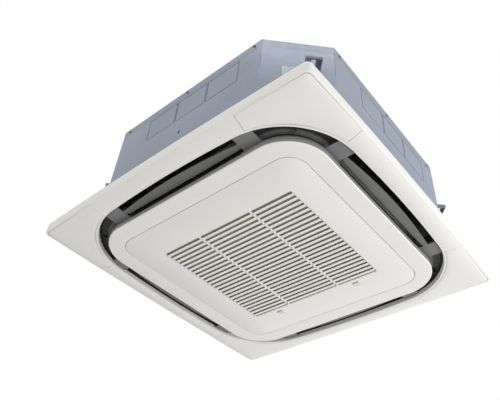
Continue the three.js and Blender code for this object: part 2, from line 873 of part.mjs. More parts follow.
// Flap of the +X side: a boat-shaped blade with an arm and a pin at each end.
function outletFlap() {
  const half = flap.length / 2;
  const neck = half - flap.neckLength;
  const [inner, mid, end] = [flap.innerEdge, flap.innerEdge + flap.midWidth, flap.innerEdge + flap.endWidth];
  const shape = new THREE.Shape();
  shape.moveTo(inner + 3, -half);
  shape.lineTo(inner + 3 + flap.neckWidth, -half);
  shape.lineTo(end, -neck);
  shape.quadraticCurveTo(2 * mid - end, 0, end, neck);
  shape.lineTo(inner + 3 + flap.neckWidth, half);
  shape.lineTo(inner + 3, half);
  shape.lineTo(inner + 3, neck + 2);
  shape.lineTo(inner, neck);
  shape.lineTo(inner, -neck);
  shape.lineTo(inner + 3, -neck - 2);
  const blade = prism(shape, bladeZ, bladeZ + flap.thick, 8);
  // The pin at the +Y end stops at the stepper motor in its pocket.
  const ends = [-1, 1].flatMap((s) => {
    const [a, b] = [s * (half - flap.armThick), s * half].sort((p, q) => p - q);
    const pinReach = s > 0 ? flapMotor.pocketWall : flap.pinReach;
    const [c, d] = [s * (half - flap.armThick + 1), s * (half + pinReach)].sort((p, q) => p - q);
    return [
      box(flap.pivotX - flap.armRadius + 0.5, flap.pivotX + flap.armRadius - 0.5, a, b, bladeZ, pivotZ),
      rod('y', a, b, [flap.pivotX, pivotZ], flap.armRadius, 10),
      rod('y', c, d, [flap.pivotX, pivotZ], flap.pinRadius, 12),
    ];
  });
  return joined(blade, ends);
}

// ---------------------------------------------------------------- casing

// Scored rectangles for branch ducts: three cells in a row near the top of each side.
function knockOutGrooves() {
  const high = casingTopZ - knockOut.belowTop;
  const low = high - knockOut.height;
  const first = knockOut.offset - knockOut.pitch - knockOut.width / 2;
  const skin = casing.half - knockOut.depth;
  const bars = [];
  for (let cell = 0; cell < 3; cell += 1) {
    const a = first + cell * knockOut.pitch;
    const outer = box(skin, casing.half + 1, a, a + knockOut.width, low, high);
    const inner = box(skin - 1, casing.half + 2, a + knockOut.groove, a + knockOut.width - knockOut.groove,
      low + knockOut.groove, high - knockOut.groove);
    bars.push(outer.subtract(inner));
  }
  return joined(bars);
}

function pipeWindow() {
  const half = pipeCover.width / 2 - pipeCover.openingMargin;
  return moved(box(-30, 10, -half, half, pipeCover.lowZ + pipeCover.openingMargin,
    pipeCover.highZ - pipeCover.openingMargin), cornerFrame(...pipeCorner));
}

function casingShell() {
  const outer = octagon(casing.half, casing.leg);
  const inner = insetOctagon(casing.half, casing.leg, SHEET);
  const lip = insetOctagon(casing.half, casing.leg, casing.flange);
  const top = topPlateZ - FIT_GAP;
  const body = loopBody([
    [outer, casing.bottomZ],
    [outer, top],
    [inner, top],
    [inner, casing.bottomZ + SHEET],
    [lip, casing.bottomZ + SHEET],
    [lip, casing.bottomZ],
  ]);
  const grooves = knockOutGrooves();
  const sides = [0, 1, 2, 3].map((q) => turnZ(grooves, q));
  const drainHole = rod('x', -casing.half - 5, -casing.half + 5, [drainSocket.y, drainSocket.z],
    drainSocket.outerRadius + FIT_GAP, 16);
  const wiringHole = rod('x', -casing.half - 5, -casing.half + 5, [wiring.y, wiring.z],
    wiring.radius + FIT_GAP, 16);
  return cutBy(body, sides, pipeWindow(), drainHole, wiringHole);
}

function topPlate() {
  const outer = octagon(casing.half, casing.leg);
  const hole = circle(topDish.radius);
  const section = [[outer, topPlateZ], [outer, casingTopZ], [hole, casingTopZ], [hole, topPlateZ]];
  const plate = loopBody(section, [outer, hole]);
  const low = casingTopZ - topDish.depth;
  const dish = turned([
    [0, low],
    [topDish.radius - 10, low],
    [topDish.radius + 1, topPlateZ],
    [topDish.radius + 1, casingTopZ],
    [topDish.radius - 2, casingTopZ],
    [topDish.radius - 11.5, low + topDish.sheet],
    [0, low + topDish.sheet],
  ], 24);
  return plate.add(dish);
}

function insulationLiner() {
  const outer = insetOctagon(casing.half, casing.leg, SHEET + FIT_GAP);
  const inner = insetOctagon(casing.half, casing.leg, liner.thick + SHEET);
  const low = casing.bottomZ + SHEET + FIT_GAP;
  const high = casingTopZ - liner.topGap;
  const body = loopBody([[outer, low], [outer, high], [inner, high], [inner, low]]);
  const drainWay = rod('x', -casing.half, -casing.half + 40, [drainSocket.y, drainSocket.z],
    drainSocket.outerRadius + FIT_GAP, 16);
  const wiringWay = rod('x', -casing.half, -casing.half + 40, [wiring.y, wiring.z],
    wiring.radius + FIT_GAP, 16);
  return cutBy(body, pipeWindow(), drainWay, wiringWay);
}

function hangerBracket(signX, signY) {
  const hand = signX * signY;
  const slotX = (hanger.pitchX / 2 + hanger.pitchY / 2) / Math.SQRT2 - chamferReach;
  const slotY = (-hand * (hanger.pitchX / 2 - hanger.pitchY / 2)) / Math.SQRT2;
  const t = hanger.sheet;
  const back = FIT_GAP;
  const [y0, y1] = [slotY - hanger.lugWidth / 2, slotY + hanger.lugWidth / 2];
  const lugTop = hanger.lugZ + t;
  const plate = box(back, back + t, -hanger.plateWidth / 2, hanger.plateWidth / 2,
    hanger.plateLowZ, hanger.plateHighZ);
  const ear = box(back, back + t, y0, y1, hanger.lugZ - hanger.cheek, lugTop);
  const lug = box(back, hanger.lugReach, y0, y1, hanger.lugZ, lugTop);
  const lip = box(hanger.lugReach - t, hanger.lugReach, y0, y1, hanger.lugZ - hanger.lip, lugTop);
  const cheeks = [y0, y1 - t].map((y) => {
    const side = [[back, hanger.lugZ - hanger.cheek], [hanger.lugReach, hanger.lugZ - hanger.lip],
      [hanger.lugReach, lugTop], [back, lugTop]];
    const upright = prism(side, 0, t);
    const stand = new THREE.Matrix4().makeRotationX(Math.PI / 2).setPosition(0, y + t, 0);
    return moved(upright, stand);
  });
  const tab = box(back, hanger.tabReach, -hanger.tabWidth / 2, hanger.tabWidth / 2,
    hanger.plateLowZ, hanger.plateLowZ + t);
  const slot = box(slotX - hanger.slotLength / 2, slotX + hanger.slotLength / 2,
    slotY - hanger.slotWidth / 2, slotY + hanger.slotWidth / 2, hanger.lugZ - 1, lugTop + 1);
  const screwHole = rod('z', hanger.plateLowZ - 1, hanger.plateLowZ + t + 1,
    [panelScrew.diagonal - chamferReach, 0], panelScrew.radius + panelScrew.holeGap, 12);
  const body = joined(plate, ear, lug, lip, cheeks, tab);
  return moved(cutBy(body, slot, screwHole), cornerFrame(signX, signY));
}

// ---------------------------------------------------------------- air path inside

function bellMouth() {
  const { throatRadius: r, mouthRadius: m, wall: w, topZ } = bell;
  const flangeZ = casing.bottomZ - FIT_GAP;
  const bendHeight = 44;
  const steps = 4;
  const innerCurve = [];
  const outerCurve = [];
  for (let i = 0; i <= steps; i += 1) {
    const a = (i / steps) * (Math.PI / 2);
    const radius = m - (m - r) * Math.sin(a);
    const z = flangeZ - w + bendHeight * (1 - Math.cos(a));
    innerCurve.push([radius, z]);
    outerCurve.push([radius + w * Math.sin(a) + 0.01, z + w * Math.cos(a)]);
  }
  const profile = [
    ...innerCurve,
    [r, topZ],
    [r + w, topZ],
    ...outerCurve.reverse(),
    [bell.flangeRadius, flangeZ],
    [bell.flangeRadius, flangeZ - w],
  ];
  return turned(profile, 28);
}

function drainPan() {
  const outer = rounded(pan.outerHalf, pan.outerCorner);
  const troughOut = grow(outer, -pan.wall);
  const [hole, troughIn] = [circle(pan.innerRadius), circle(pan.innerRadius + pan.wall)];
  const floorZ = casing.bottomZ + pan.floor;
  const body = loopBody([
    [hole, casing.bottomZ],
    [outer, casing.bottomZ],
    [outer, panTopZ],
    [troughOut, panTopZ],
    [troughOut, floorZ],
    [troughIn, floorZ],
    [troughIn, panTopZ],
    [hole, panTopZ],
  ], [outer]);
  const plugHole = rod('z', casing.bottomZ - 1, floorZ + 1, [drainPlug.x, drainPlug.y],
    drainPlug.radius + FIT_GAP, 12);
  return body.subtract(plugHole);
}

function heatExchanger() {
  const outer = rounded(coil.outerHalf, coil.corner);
  const inner = grow(outer, -coil.thick);
  const [low, high] = [coilLowZ, coilLowZ + coil.height];
  const loop = loopBody([[outer, low], [outer, high], [inner, high], [inner, low]]);
  const open = box(-panel.side, -coil.endAt, coil.endAt, panel.side, low - 1, high + 1);
  return loop.subtract(open);
}

function turboFan() {
  const { plate, hubZ, radius, domeRadius, domeZ, bossRadius, bossZ, bossTopZ } = fan;
  const { eyeRadius, eyeZ, shroudZ } = fan;
  const bore = shaft.radius + FIT_GAP;
  const hub = turned([
    [bore, bossZ],
    [bossRadius, bossZ],
    [bossRadius, bossTopZ - plate],
    [domeRadius - 12, domeZ - plate],
    [domeRadius, domeZ + 6],
    [domeRadius, hubZ],
    [radius, hubZ],
    [radius, hubZ + plate],
    [domeRadius - plate, hubZ + plate],
    [domeRadius - plate, domeZ + 7],
    [domeRadius - 13, domeZ],
    [bossRadius, bossTopZ],
    [bore, bossTopZ],
  ], 28);
  const mid = [(eyeRadius + radius) / 2 - 12, eyeZ + (shroudZ - eyeZ) * 0.72];
  const shroud = turned([
    [eyeRadius, eyeZ],
    [eyeRadius + plate, eyeZ],
    [eyeRadius + plate + 3, eyeZ + 16],
    [mid[0], mid[1] - plate],
    [radius, shroudZ - plate],
    [radius, shroudZ],
    [mid[0] - 1, mid[1]],
    [eyeRadius + 1, eyeZ + 18],
  ], 28);
  return joined(hub, shroud, fanBlades());
}

// Backward-leaning blades between the shroud and the hub plate.
function fanBlades() {
  const { bladeInner, bladeSweep, bladeThick, bladeCount } = fan;
  const { radius, shroudZ, hubZ, plate, eyeRadius, eyeZ } = fan;
  const sweep = THREE.MathUtils.degToRad(bladeSweep);
  const tip = radius - 2;
  const steps = 4;
  const side = (offset) => {
    const line = [];
    for (let i = 0; i <= steps; i += 1) {
      const share = i / steps;
      const r = bladeInner + (tip - bladeInner) * share;
      const a = sweep * share ** 1.4 + offset / r;
      line.push([r * Math.cos(a), r * Math.sin(a)]);
    }
    return line;
  };
  const outline = [...side(0), ...side(bladeThick).reverse()];
  const blade = prism(outline, shroudZ - 2, hubZ + plate / 2);
  const mouth = eyeRadius + 18;
  const lowOutline = outline.filter(([x, y]) => Math.hypot(x, y) > mouth);
  const root = lowOutline.length > 3 ? prism(lowOutline, eyeZ + 34, shroudZ) : blade;
  const one = blade.add(root.subtract(turned([[0, 0], [mouth, 0], [mouth, shroudZ], [0, shroudZ]])));
  return Array.from({ length: bladeCount }, (_, i) => moved(one,
    new THREE.Matrix4().makeRotationZ((2 * Math.PI * i) / bladeCount)));
}

function fanMotor() {
  const topZ = motor.lowZ + motor.height;
  const can = turned([
    [0, motor.lowZ],
    [motor.radius - 14, motor.lowZ],
    [motor.radius, motor.lowZ + 10],
    [motor.radius, topZ - motor.flangeThick],
    [motor.flangeRadius, topZ - motor.flangeThick],
    [motor.flangeRadius, topZ],
    [0, topZ],
  ], 24);
  return can;
}

function motorBush(index) {
  const a = (2 * Math.PI * index) / motor.bushCount;
  const place = [motor.bushCircle * Math.cos(a), motor.bushCircle * Math.sin(a)];
  const low = motor.lowZ + motor.height + FIT_GAP;
  const high = casingTopZ - topDish.depth - FIT_GAP;
  const waist = (low + high) / 2;
  const bush = turned([[0, low], [motor.bushRadius, low], [motor.bushRadius, waist - 4],
    [motor.bushRadius - 3, waist], [motor.bushRadius, waist + 4], [motor.bushRadius, high], [0, high]], 12);
  return moved(bush, new THREE.Matrix4().makeTranslation(place[0], place[1], 0));
}

function fanNut() {
  const high = fan.bossZ - FIT_GAP;
  const nut = rod('z', high - 11, high, [0, 0], shaft.radius * 1.9, 6);
  return nut.subtract(rod('z', high - 12, high + 1, [0, 0], shaft.radius + FIT_GAP));
}

// ---------------------------------------------------------------- water and wiring

function drainPump() {
  const body = turned([
    [0, pump.lowZ - 30],
    [pump.inletRadius, pump.lowZ - 30],
    [pump.inletRadius + 4, pump.lowZ],
    [pump.radius, pump.lowZ],
    [pump.radius, pump.lowZ + pump.height * 0.45],
    [pump.radius * 0.72, pump.lowZ + pump.height * 0.5],
    [pump.radius * 0.72, pump.lowZ + pump.height],
    [0, pump.lowZ + pump.height],
  ], 20);
  return moved(body, new THREE.Matrix4().makeTranslation(-pump.offset, pump.offset, 0));
}

// Riser hose from the pump's outlet to the drain socket in the casing's -X side.
function drainRiser() {
  const startX = -pump.offset - pump.radius - FIT_GAP;
  const z0 = pump.lowZ + pump.height * 0.25;
  const endX = -casing.half + drainSocket.length * 0.45 + FIT_GAP;
  const path = new THREE.CatmullRomCurve3([
    new THREE.Vector3(startX, pump.offset, z0),
    new THREE.Vector3(startX - 12, pump.offset, z0),
    new THREE.Vector3(startX - 26, pump.offset - 14, z0 + 40),
    new THREE.Vector3(startX - 24, drainSocket.y + 6, drainSocket.z - 30),
    new THREE.Vector3(endX + 20, drainSocket.y, drainSocket.z),
    new THREE.Vector3(endX, drainSocket.y, drainSocket.z),
  ]);
  return tube(path, drainHose.radius, 12, 8);
}

function tube(path, radius, steps, sides = 12) {
  const shape = new THREE.Shape();
  for (let i = 0; i < sides; i += 1) {
    const a = (2 * Math.PI * i) / sides;
    const [x, y] = [radius * Math.cos(a), radius * Math.sin(a)];
    if (i === 0) shape.moveTo(x, y);
    else shape.lineTo(x, y);
  }
  return solidOf(new THREE.ExtrudeGeometry(shape, { steps, extrudePath: path, bevelEnabled: false }));
}

function drainOutlet() {
  const { y, z, outerRadius, innerRadius, length, collarRadius, collarThick } = drainSocket;
  const inEnd = -casing.half + length * 0.45;
  const outEnd = inEnd - length;
  const wallFace = -casing.half - FIT_GAP;
  const body = rod('x', outEnd, inEnd, [y, z], outerRadius, 16)
    .add(rod('x', wallFace - collarThick, wallFace, [y, z], collarRadius, 16));
  return body.subtract(rod('x', outEnd - 1, inEnd - 6, [y, z], innerRadius, 16));
}

function floatStem() {
  const top = floatTopZ() + floatSwitch.lift + floatSwitch.stemHeight * 0.3;
  const low = casing.bottomZ + pan.floor + FIT_GAP;
  const at = [-floatSwitch.offsetX, floatSwitch.offsetY];
  return joined(
    rod('z', low, top, at, floatSwitch.stemRadius, 12),
    rod('z', low, low + 2, at, floatSwitch.headRadius, 12),
    rod('z', top - 6, top, at, floatSwitch.headRadius, 12),
  );
}

const floatLowZ = () => casing.bottomZ + pan.floor + 2 + 2 * FIT_GAP;
const floatTopZ = () => floatLowZ() + floatSwitch.floatHeight;

function floatRing() {
  const at = [-floatSwitch.offsetX, floatSwitch.offsetY];
  const ringBody = rod('z', floatLowZ(), floatTopZ(), at, floatSwitch.floatRadius, 16);
  return ringBody.subtract(rod('z', floatLowZ() - 1, floatTopZ() + 1, at,
    floatSwitch.stemRadius + FIT_GAP, 12));
}

function rubberPlug() {
  const high = casing.bottomZ + pan.floor;
  const at = [drainPlug.x, drainPlug.y];
  const head = rod('z', casing.bottomZ - 3 - FIT_GAP, casing.bottomZ - FIT_GAP, at, drainPlug.headRadius, 12);
  return head.add(rod('z', casing.bottomZ - 1, high, at, drainPlug.radius, 12));
}

const boxTopZ = casing.bottomZ - bell.wall - 2 * FIT_GAP;

function electricsBox() {
  const { halfWidth: w, nearY, farY, lowZ: z0, sheet } = controlBox;
  const lidSeat = z0 + sheet + FIT_GAP;
  const shell = box(-w, w, nearY, farY, lidSeat, boxTopZ);
  const hollow = box(-w + sheet, w - sheet, nearY + sheet, farY - sheet, lidSeat - 1, boxTopZ - sheet);
  return shell.subtract(hollow);
}

function electricsLid() {
  const { halfWidth: w, nearY, farY, lowZ: z0, sheet } = controlBox;
  const plate = box(-w - 3, w + 3, nearY, farY, z0, z0 + sheet);
  const rim = 6;
  const gap = sheet + FIT_GAP;
  const lip = box(-w + gap, w - gap, nearY + gap, farY - gap, z0, z0 + rim)
    .subtract(box(-w + gap + sheet, w - gap - sheet, nearY + gap + sheet, farY - gap - sheet,
      z0 + sheet, z0 + rim + 1));
  return plate.add(lip);
}

function wiringGrommet() {
  const wallFace = -casing.half;
  const at = [wiring.y, wiring.z];
  const body = joined(
    rod('x', wallFace - FIT_GAP - wiring.thick, wallFace - FIT_GAP, at, wiring.flange, 16),
    rod('x', wallFace - 1, wallFace + liner.thick, at, wiring.radius, 16),
  );
  return body.subtract(rod('x', wallFace - 20, wallFace + liner.thick + 1, at, wiring.radius - 4, 16));
}

// ---------------------------------------------------------------- refrigerant pipes

// Path from an open end of the coil, round one bend, and out square to the chamfer.
function pipePath(kind) {
  const gas = kind === 'gas';
  const radius = gas ? pipe.gasRadius : pipe.liquidRadius;
  const z = gas ? pipe.gasZ : pipe.liquidZ;
  const cross = casing.half - casing.leg / 2;
  const [outX, outY] = [-(cross + pipe.spread), cross - pipe.spread];
  const startY = coil.endAt + FIT_GAP;
  const lane = coil.outerHalf - coil.thick / 2;
  const bendY = outY - (-outX - lane);
  const bend = 3 * radius;
  const reachOut = pipe.stub / Math.SQRT2;
  const flip = (x, y) => (gas ? new THREE.Vector3(x, y, z) : new THREE.Vector3(-y, -x, z));
  const path = new THREE.CurvePath();
  const [a, b] = [flip(-lane, startY), flip(-lane, bendY - bend)];
  const [corner, c] = [flip(-lane, bendY), flip(-lane - bend / Math.SQRT2, bendY + bend / Math.SQRT2)];
  const end = flip(outX - reachOut, outY + reachOut);
  path.add(new THREE.LineCurve3(a, b));
  path.add(new THREE.QuadraticBezierCurve3(b, corner, c));
  path.add(new THREE.LineCurve3(c, end));
  return { path, radius, end, z };
}

function refrigerantPipe(kind) {
  const { path, radius } = pipePath(kind);
  const points = path.curves[1].getPoints(6);
  const bent = new THREE.CurvePath();
  bent.add(path.curves[0]);
  points.slice(1).forEach((p, i) => bent.add(new THREE.LineCurve3(points[i], p)));
  bent.add(path.curves[2]);
  return tube(bent, radius, 16, 8);
}

// Flare nut with its closed cap, on the end of a pipe.
function flareNut(kind) {
  const { radius, end, z } = pipePath(kind);
  const along = new THREE.Matrix4().makeRotationZ(Math.atan2(1, -1)).setPosition(end.x, end.y, 0);
  const across = radius * pipe.nutAcross;
  const nut = rod('x', -pipe.nutLength * 0.8, pipe.nutLength * 0.2, [0, z], across, 6);
  const cap = rod('x', pipe.nutLength * 0.2 - 1, pipe.nutLength * 0.5, [0, z], radius, 16);
  const bore = rod('x', -pipe.nutLength, FIT_GAP, [0, z], radius + FIT_GAP, 16);
  return moved(nut.add(cap).subtract(bore), along);
}

function pipeCoverPlate() {
  const half = pipeCover.width / 2;
  const plate = box(FIT_GAP, FIT_GAP + pipeCover.thick, -half, half, pipeCover.lowZ, pipeCover.highZ);
  const side = pipe.spread * Math.SQRT2;
  const gasHole = rod('x', -5, 8, [side, pipe.gasZ], pipe.gasRadius + FIT_GAP, 16);
  const liquidHole = rod('x', -5, 8, [-side, pipe.liquidZ], pipe.liquidRadius + FIT_GAP, 16);
  return moved(cutBy(plate, gasHole, liquidHole), cornerFrame(...pipeCorner));
}

function panelScrewAt(signX, signY) {
  const at = screwPlace(signX, signY);
  const face = faceHeight(...at) + shelfLow;
  const tip = hanger.plateLowZ + hanger.sheet + panelScrew.above;
  const seat = face - 2 * FIT_GAP;
  const head = rod('z', seat - panelScrew.headHeight, seat, at, panelScrew.headRadius, 12);
  return head.add(rod('z', face - 1, tip, at, panelScrew.radius, 10));
}

// ---------------------------------------------------------------- seal

function panelSeal() {
  const inner = rounded(outlet.throatHalf - 2, outlet.throatCorner - 2);
  const outer = rounded(outlet.throatHalf + 8, outlet.throatCorner + 8);
  const [low, high] = [panelBackHeight + FIT_GAP, casing.bottomZ - FIT_GAP];
  return loopBody([[inner, low], [outer, low], [outer, high], [inner, high]]);
}

// ---------------------------------------------------------------- assembly

const unit = new THREE.Group();

function add(name, solid, finish) {
  const mesh = new THREE.Mesh(geometryOf(solid), new THREE.MeshStandardMaterial(finish));
  mesh.name = name;
  unit.add(mesh);
}

const sideNames = ['right', 'back', 'left', 'front'];
const cornerNames = ['back_right', 'back_left', 'front_left', 'front_right'];

add('panel_frame', panelFrame(), white);
[1, 2, 3, 0].forEach((q, i) => add(`corner_cover_${cornerNames[i]}`, cornerCover(q), white));
corners.forEach(([sx, sy], i) => add(`panel_screw_${cornerNames[i]}`, panelScrewAt(sx, sy), steel));
add('inner_ring', innerRing(), white);
add('panel_seal', panelSeal(), foamDark);
cornerNames.forEach((name, q) => add(`corner_duct_${name}`, turnZ(cornerDuct(), q), blockGrey));
cornerNames.forEach((name, q) => add(`flap_motor_${sideNames[q]}`, turnZ(flapStepper(), q), blackPlastic));
sideNames.forEach((name, q) => add(`flap_${name}`, turnZ(outletFlap(), q), greyPlastic));

add('suction_grille', suctionGrille(), white);
add('hinge_pin_left', hingePin(-1), steel);
add('hinge_pin_right', hingePin(1), steel);
add('grille_latch_left', grilleLatch(-1), white);
add('grille_latch_right', grilleLatch(1), white);
add('air_filter', airFilter(), filterGrey);

add('casing_shell', casingShell(), galvanised);
add('top_plate', topPlate(), galvanised);
add('insulation_liner', insulationLiner(), foam);
corners.forEach(([sx, sy], i) => add(`hanger_bracket_${cornerNames[i]}`, hangerBracket(sx, sy), galvanised));

add('bell_mouth', bellMouth(), blackPlastic);
add('drain_pan', drainPan(), foam);
add('heat_exchanger', heatExchanger(), aluminium);
add('turbo_fan', turboFan(), blackPlastic);
add('motor_shaft', rod('z', shaft.lowZ, motor.lowZ - FIT_GAP, [0, 0], shaft.radius), steel);
add('fan_nut', fanNut(), steel);
add('fan_motor', fanMotor(), darkSteel);
for (let i = 0; i < motor.bushCount; i += 1) add(`motor_bush_${i + 1}`, motorBush(i), rubber);

add('drain_pump', drainPump(), blackPlastic);
add('drain_hose', drainRiser(), rubber);
add('drain_socket', drainOutlet(), greyPlastic);
add('float_switch', floatStem(), blackPlastic);
add('float', floatRing(), white);
add('drain_plug', rubberPlug(), rubber);

add('control_box', electricsBox(), galvanised);
add('control_box_lid', electricsLid(), galvanised);
add('wiring_grommet', wiringGrommet(), rubber);
add('gas_pipe', refrigerantPipe('gas'), copper);
add('liquid_pipe', refrigerantPipe('liquid'), copper);
add('gas_flare_nut', flareNut('gas'), brass);
add('liquid_flare_nut', flareNut('liquid'), brass);
add('pipe_cover', pipeCoverPlate(), galvanised);

export default unit;
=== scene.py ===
# Ceiling cassette air conditioner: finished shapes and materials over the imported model.
import json
import math

import bmesh
import bpy
from mathutils import Matrix, Vector

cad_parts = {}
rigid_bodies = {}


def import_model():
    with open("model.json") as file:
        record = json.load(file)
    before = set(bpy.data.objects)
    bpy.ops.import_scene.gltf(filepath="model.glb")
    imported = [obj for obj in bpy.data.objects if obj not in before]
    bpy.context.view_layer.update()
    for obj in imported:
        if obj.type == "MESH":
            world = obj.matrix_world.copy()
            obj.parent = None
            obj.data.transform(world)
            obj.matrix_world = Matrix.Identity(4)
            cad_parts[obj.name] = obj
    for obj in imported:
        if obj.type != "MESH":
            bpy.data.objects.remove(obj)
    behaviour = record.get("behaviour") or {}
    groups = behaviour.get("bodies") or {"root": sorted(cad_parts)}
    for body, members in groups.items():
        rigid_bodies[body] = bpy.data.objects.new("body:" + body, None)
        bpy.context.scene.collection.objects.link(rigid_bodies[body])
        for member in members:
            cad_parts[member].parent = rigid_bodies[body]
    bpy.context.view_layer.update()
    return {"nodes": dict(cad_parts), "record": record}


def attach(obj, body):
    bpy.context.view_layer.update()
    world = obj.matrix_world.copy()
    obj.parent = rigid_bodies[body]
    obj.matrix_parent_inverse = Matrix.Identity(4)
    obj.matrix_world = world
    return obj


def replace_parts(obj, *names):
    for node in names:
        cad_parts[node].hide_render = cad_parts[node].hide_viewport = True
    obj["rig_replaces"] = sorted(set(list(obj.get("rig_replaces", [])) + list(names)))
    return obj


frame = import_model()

MM = 0.001
SIDES = ["right", "back", "left", "front"]
CORNERS = ["front_right", "back_right", "back_left", "front_left"]

# ---------------------------------------------------------------- sizes of the unit, in millimetres

WALL = 2.5
SEAM = 0.5

# Decoration panel, outwards in and from the lowest height up; the ceiling line is at zero height.
PANEL_HALF = 470.0
OUTLET_HALF = 420.0
RING_HALF = 370.0
RING_THROAT_HALF = 346.0
LOW_Z = -50.0
LIP_Z = -36.0
RING_STEP_Z = -34.0
RIM_Z = -30.0
WALL_TOP_Z = -22.0
THROAT_Z = 20.0
CREST = 0.78  # share of the face's width at which it is lowest
COVER_END = 253.0  # where a cover's slanted end meets the outlet's side line
COVER_SLANT = (55.0, 9.0)
COVER_POCKET = (0.034, 0.994, -3, 6.8)  # shares of the face's width, and heights over it

# Suction grille
GRILLE_HALF = 316.0
GRILLE_CORNER = 55.0
SLAT_FIELD = (229.0, 215.0)
SLOT_COUNT = 25
SLAT_FOOT = 5.3
RIB_X = 92.5
FINGER_X = 144.0
HINGE_X = 150.0
HINGE = (-266.0, -43.0)  # the hinge axis, in Y and Z

# Flaps
FLAP_HALF = 207.7
FLAP_NECK = 197.7
FLAP_ROOT = 382.0
FLAP_EDGE = 396.0
FLAP_BULGE = 420.0  # pull of the curved edge's middle control point
FLAP_AXIS = (391.0, -13.5)

# Casing
CASING_LOW_Z = 28.0
CASING_TOP_Z = 326.0
CASING_HALF = 420.0
CASING_LEG = 140.0
CASING_CORNER = 33.69  # degrees from a side's middle to its cut corner
CELL = (116.0, 88.0)
CELL_PITCH = 119.0
CELL_Z = 246.0


# ---------------------------------------------------------------- outlines round the centre line


def rounded(half, corner, bow=0.0):
    return ("rounded", half, corner, bow)


def octagon(half, leg):
    return ("octagon", half, leg)


def circle(radius):
    return ("circle", radius)


def between(a, b, share):
    return ("between", a, b, share)


def grow(loop, by):
    return rounded(loop[1] + by, loop[2] + by, loop[3])


def inset_octagon(by):
    return octagon(CASING_HALF - by, CASING_LEG - (2 - math.sqrt(2)) * by)


def reach(loop, fold):
    """Distance from the centre line to the outline, along a ray 0 to 45 degrees off a side's normal."""
    c, s = math.cos(fold), math.sin(fold)
    if loop[0] == "circle":
        return loop[1]
    if loop[0] == "between":
        return (1 - loop[3]) * reach(loop[1], fold) + loop[3] * reach(loop[2], fold)
    if loop[0] == "octagon":
        return min(loop[1] / c, (2 * loop[1] - loop[2]) / (c + s))
    half, corner, bow = loop[1:]
    straight = half - corner
    curve = bow * (s / c) ** 2 / straight**2
    crown = half + bow
    x = (math.sqrt(1 + 4 * curve * crown) - 1) / (2 * curve) if curve > 0 else crown
    if x * s / c <= straight:
        return x / c
    along = straight * (c + s)
    return along + math.sqrt(along**2 - 2 * straight**2 + corner**2)


def all_round(octant):
    """Ray angles over the full turn from the angles of one octant, in degrees."""
    quarter = list(octant) + [90 - a for a in reversed(octant[1:-1])]
    return [math.radians(a + 90 * q) for q in range(4) for a in quarter]


SIDE_RAYS = [0, 4.3, 8.7, 13, 17.3, 21.7]
BEND_RAYS = [25.5 + 0.75 * i for i in range(25)]
RIM_RAYS = [43.8, 44.12, 44.3, 44.5, 44.65, 44.8, 45]
PANEL_RAYS = all_round(SIDE_RAYS + BEND_RAYS + RIM_RAYS)
OCTAGON_RAYS = all_round([0, 6, 12, 18, 24, 30, CASING_CORNER, 39, 45])

RIM = rounded(PANEL_HALF, 14, 5)
FACE_OUT = grow(RIM, -2)
LIP = rounded(OUTLET_HALF, 215, 6)
FACE_IN = grow(LIP, 7)
THROAT = rounded(400, 205)
RING_OPENING = rounded(GRILLE_HALF + 1.5, GRILLE_CORNER + 1.5)


def ring_loop(half):
    return rounded(half, 120 + half - RING_HALF)


def outlet_wall(z, off=0.0):
    share = min(max((z - WALL_TOP_Z) / (THROAT_Z - WALL_TOP_Z), 0), 1)
    return between(grow(LIP, off), grow(THROAT, off), share)


def ring_wall(z, off=0.0):
    share = min(max((z - RING_STEP_Z) / (THROAT_Z - RING_STEP_Z), 0), 1)
    return between(ring_loop(RING_HALF + off), ring_loop(RING_THROAT_HALF + off), share)


def face_point(share, above=0.0):
    """A point of the face's arched section: share 0 at the rim, 1 at the outlet, lowest at CREST."""
    fall = 1 - ((CREST - share) / CREST) ** 2
    return (between(FACE_OUT, FACE_IN, share), RIM_Z + (LIP_Z - RIM_Z) * fall + above)


def face_run(first, last, above=0.0):
    """Points along the arched face from one share of its width to another."""
    return [face_point(first + (last - first) * i / 8, above) for i in range(9)]


# ---------------------------------------------------------------- modelling


def only(piece):
    """Object mode, with this piece alone selected and active."""
    if bpy.context.object and bpy.context.object.mode != "OBJECT":
        bpy.ops.object.mode_set(mode="OBJECT")
    bpy.ops.object.select_all(action="DESELECT")
    piece.select_set(True)
    bpy.context.view_layer.objects.active = piece
    return piece


def edit(piece, mode="VERT"):
    only(piece)
    bpy.ops.object.mode_set(mode="EDIT")
    bpy.ops.mesh.select_mode(type=mode)
    bpy.ops.mesh.select_all(action="SELECT")
    return bmesh.from_edit_mesh(piece.data)


def done(piece):
    bpy.ops.object.mode_set(mode="OBJECT")
    return piece


def circle_of(name, count):
    bpy.ops.object.select_all(action="DESELECT")
    bpy.ops.mesh.primitive_circle_add(vertices=count, radius=1.0)
    piece = bpy.context.active_object
    piece.name = name
    return piece


def place_loop(piece, rays, loop, z):
    """Moves the selected vertices on to the outline, each along its own ray."""
    mesh = bmesh.from_edit_mesh(piece.data)
    ray = mesh.verts.layers.int["ray"]
    for v in mesh.verts:
        if v.select:
            a = rays[v[ray]]
            turn = a % (math.pi / 2)
            r = reach(loop, min(turn, math.pi / 2 - turn))
            v.co = Vector((r * math.cos(a), r * math.sin(a), z)) * MM
    bmesh.update_edit_mesh(piece.data)


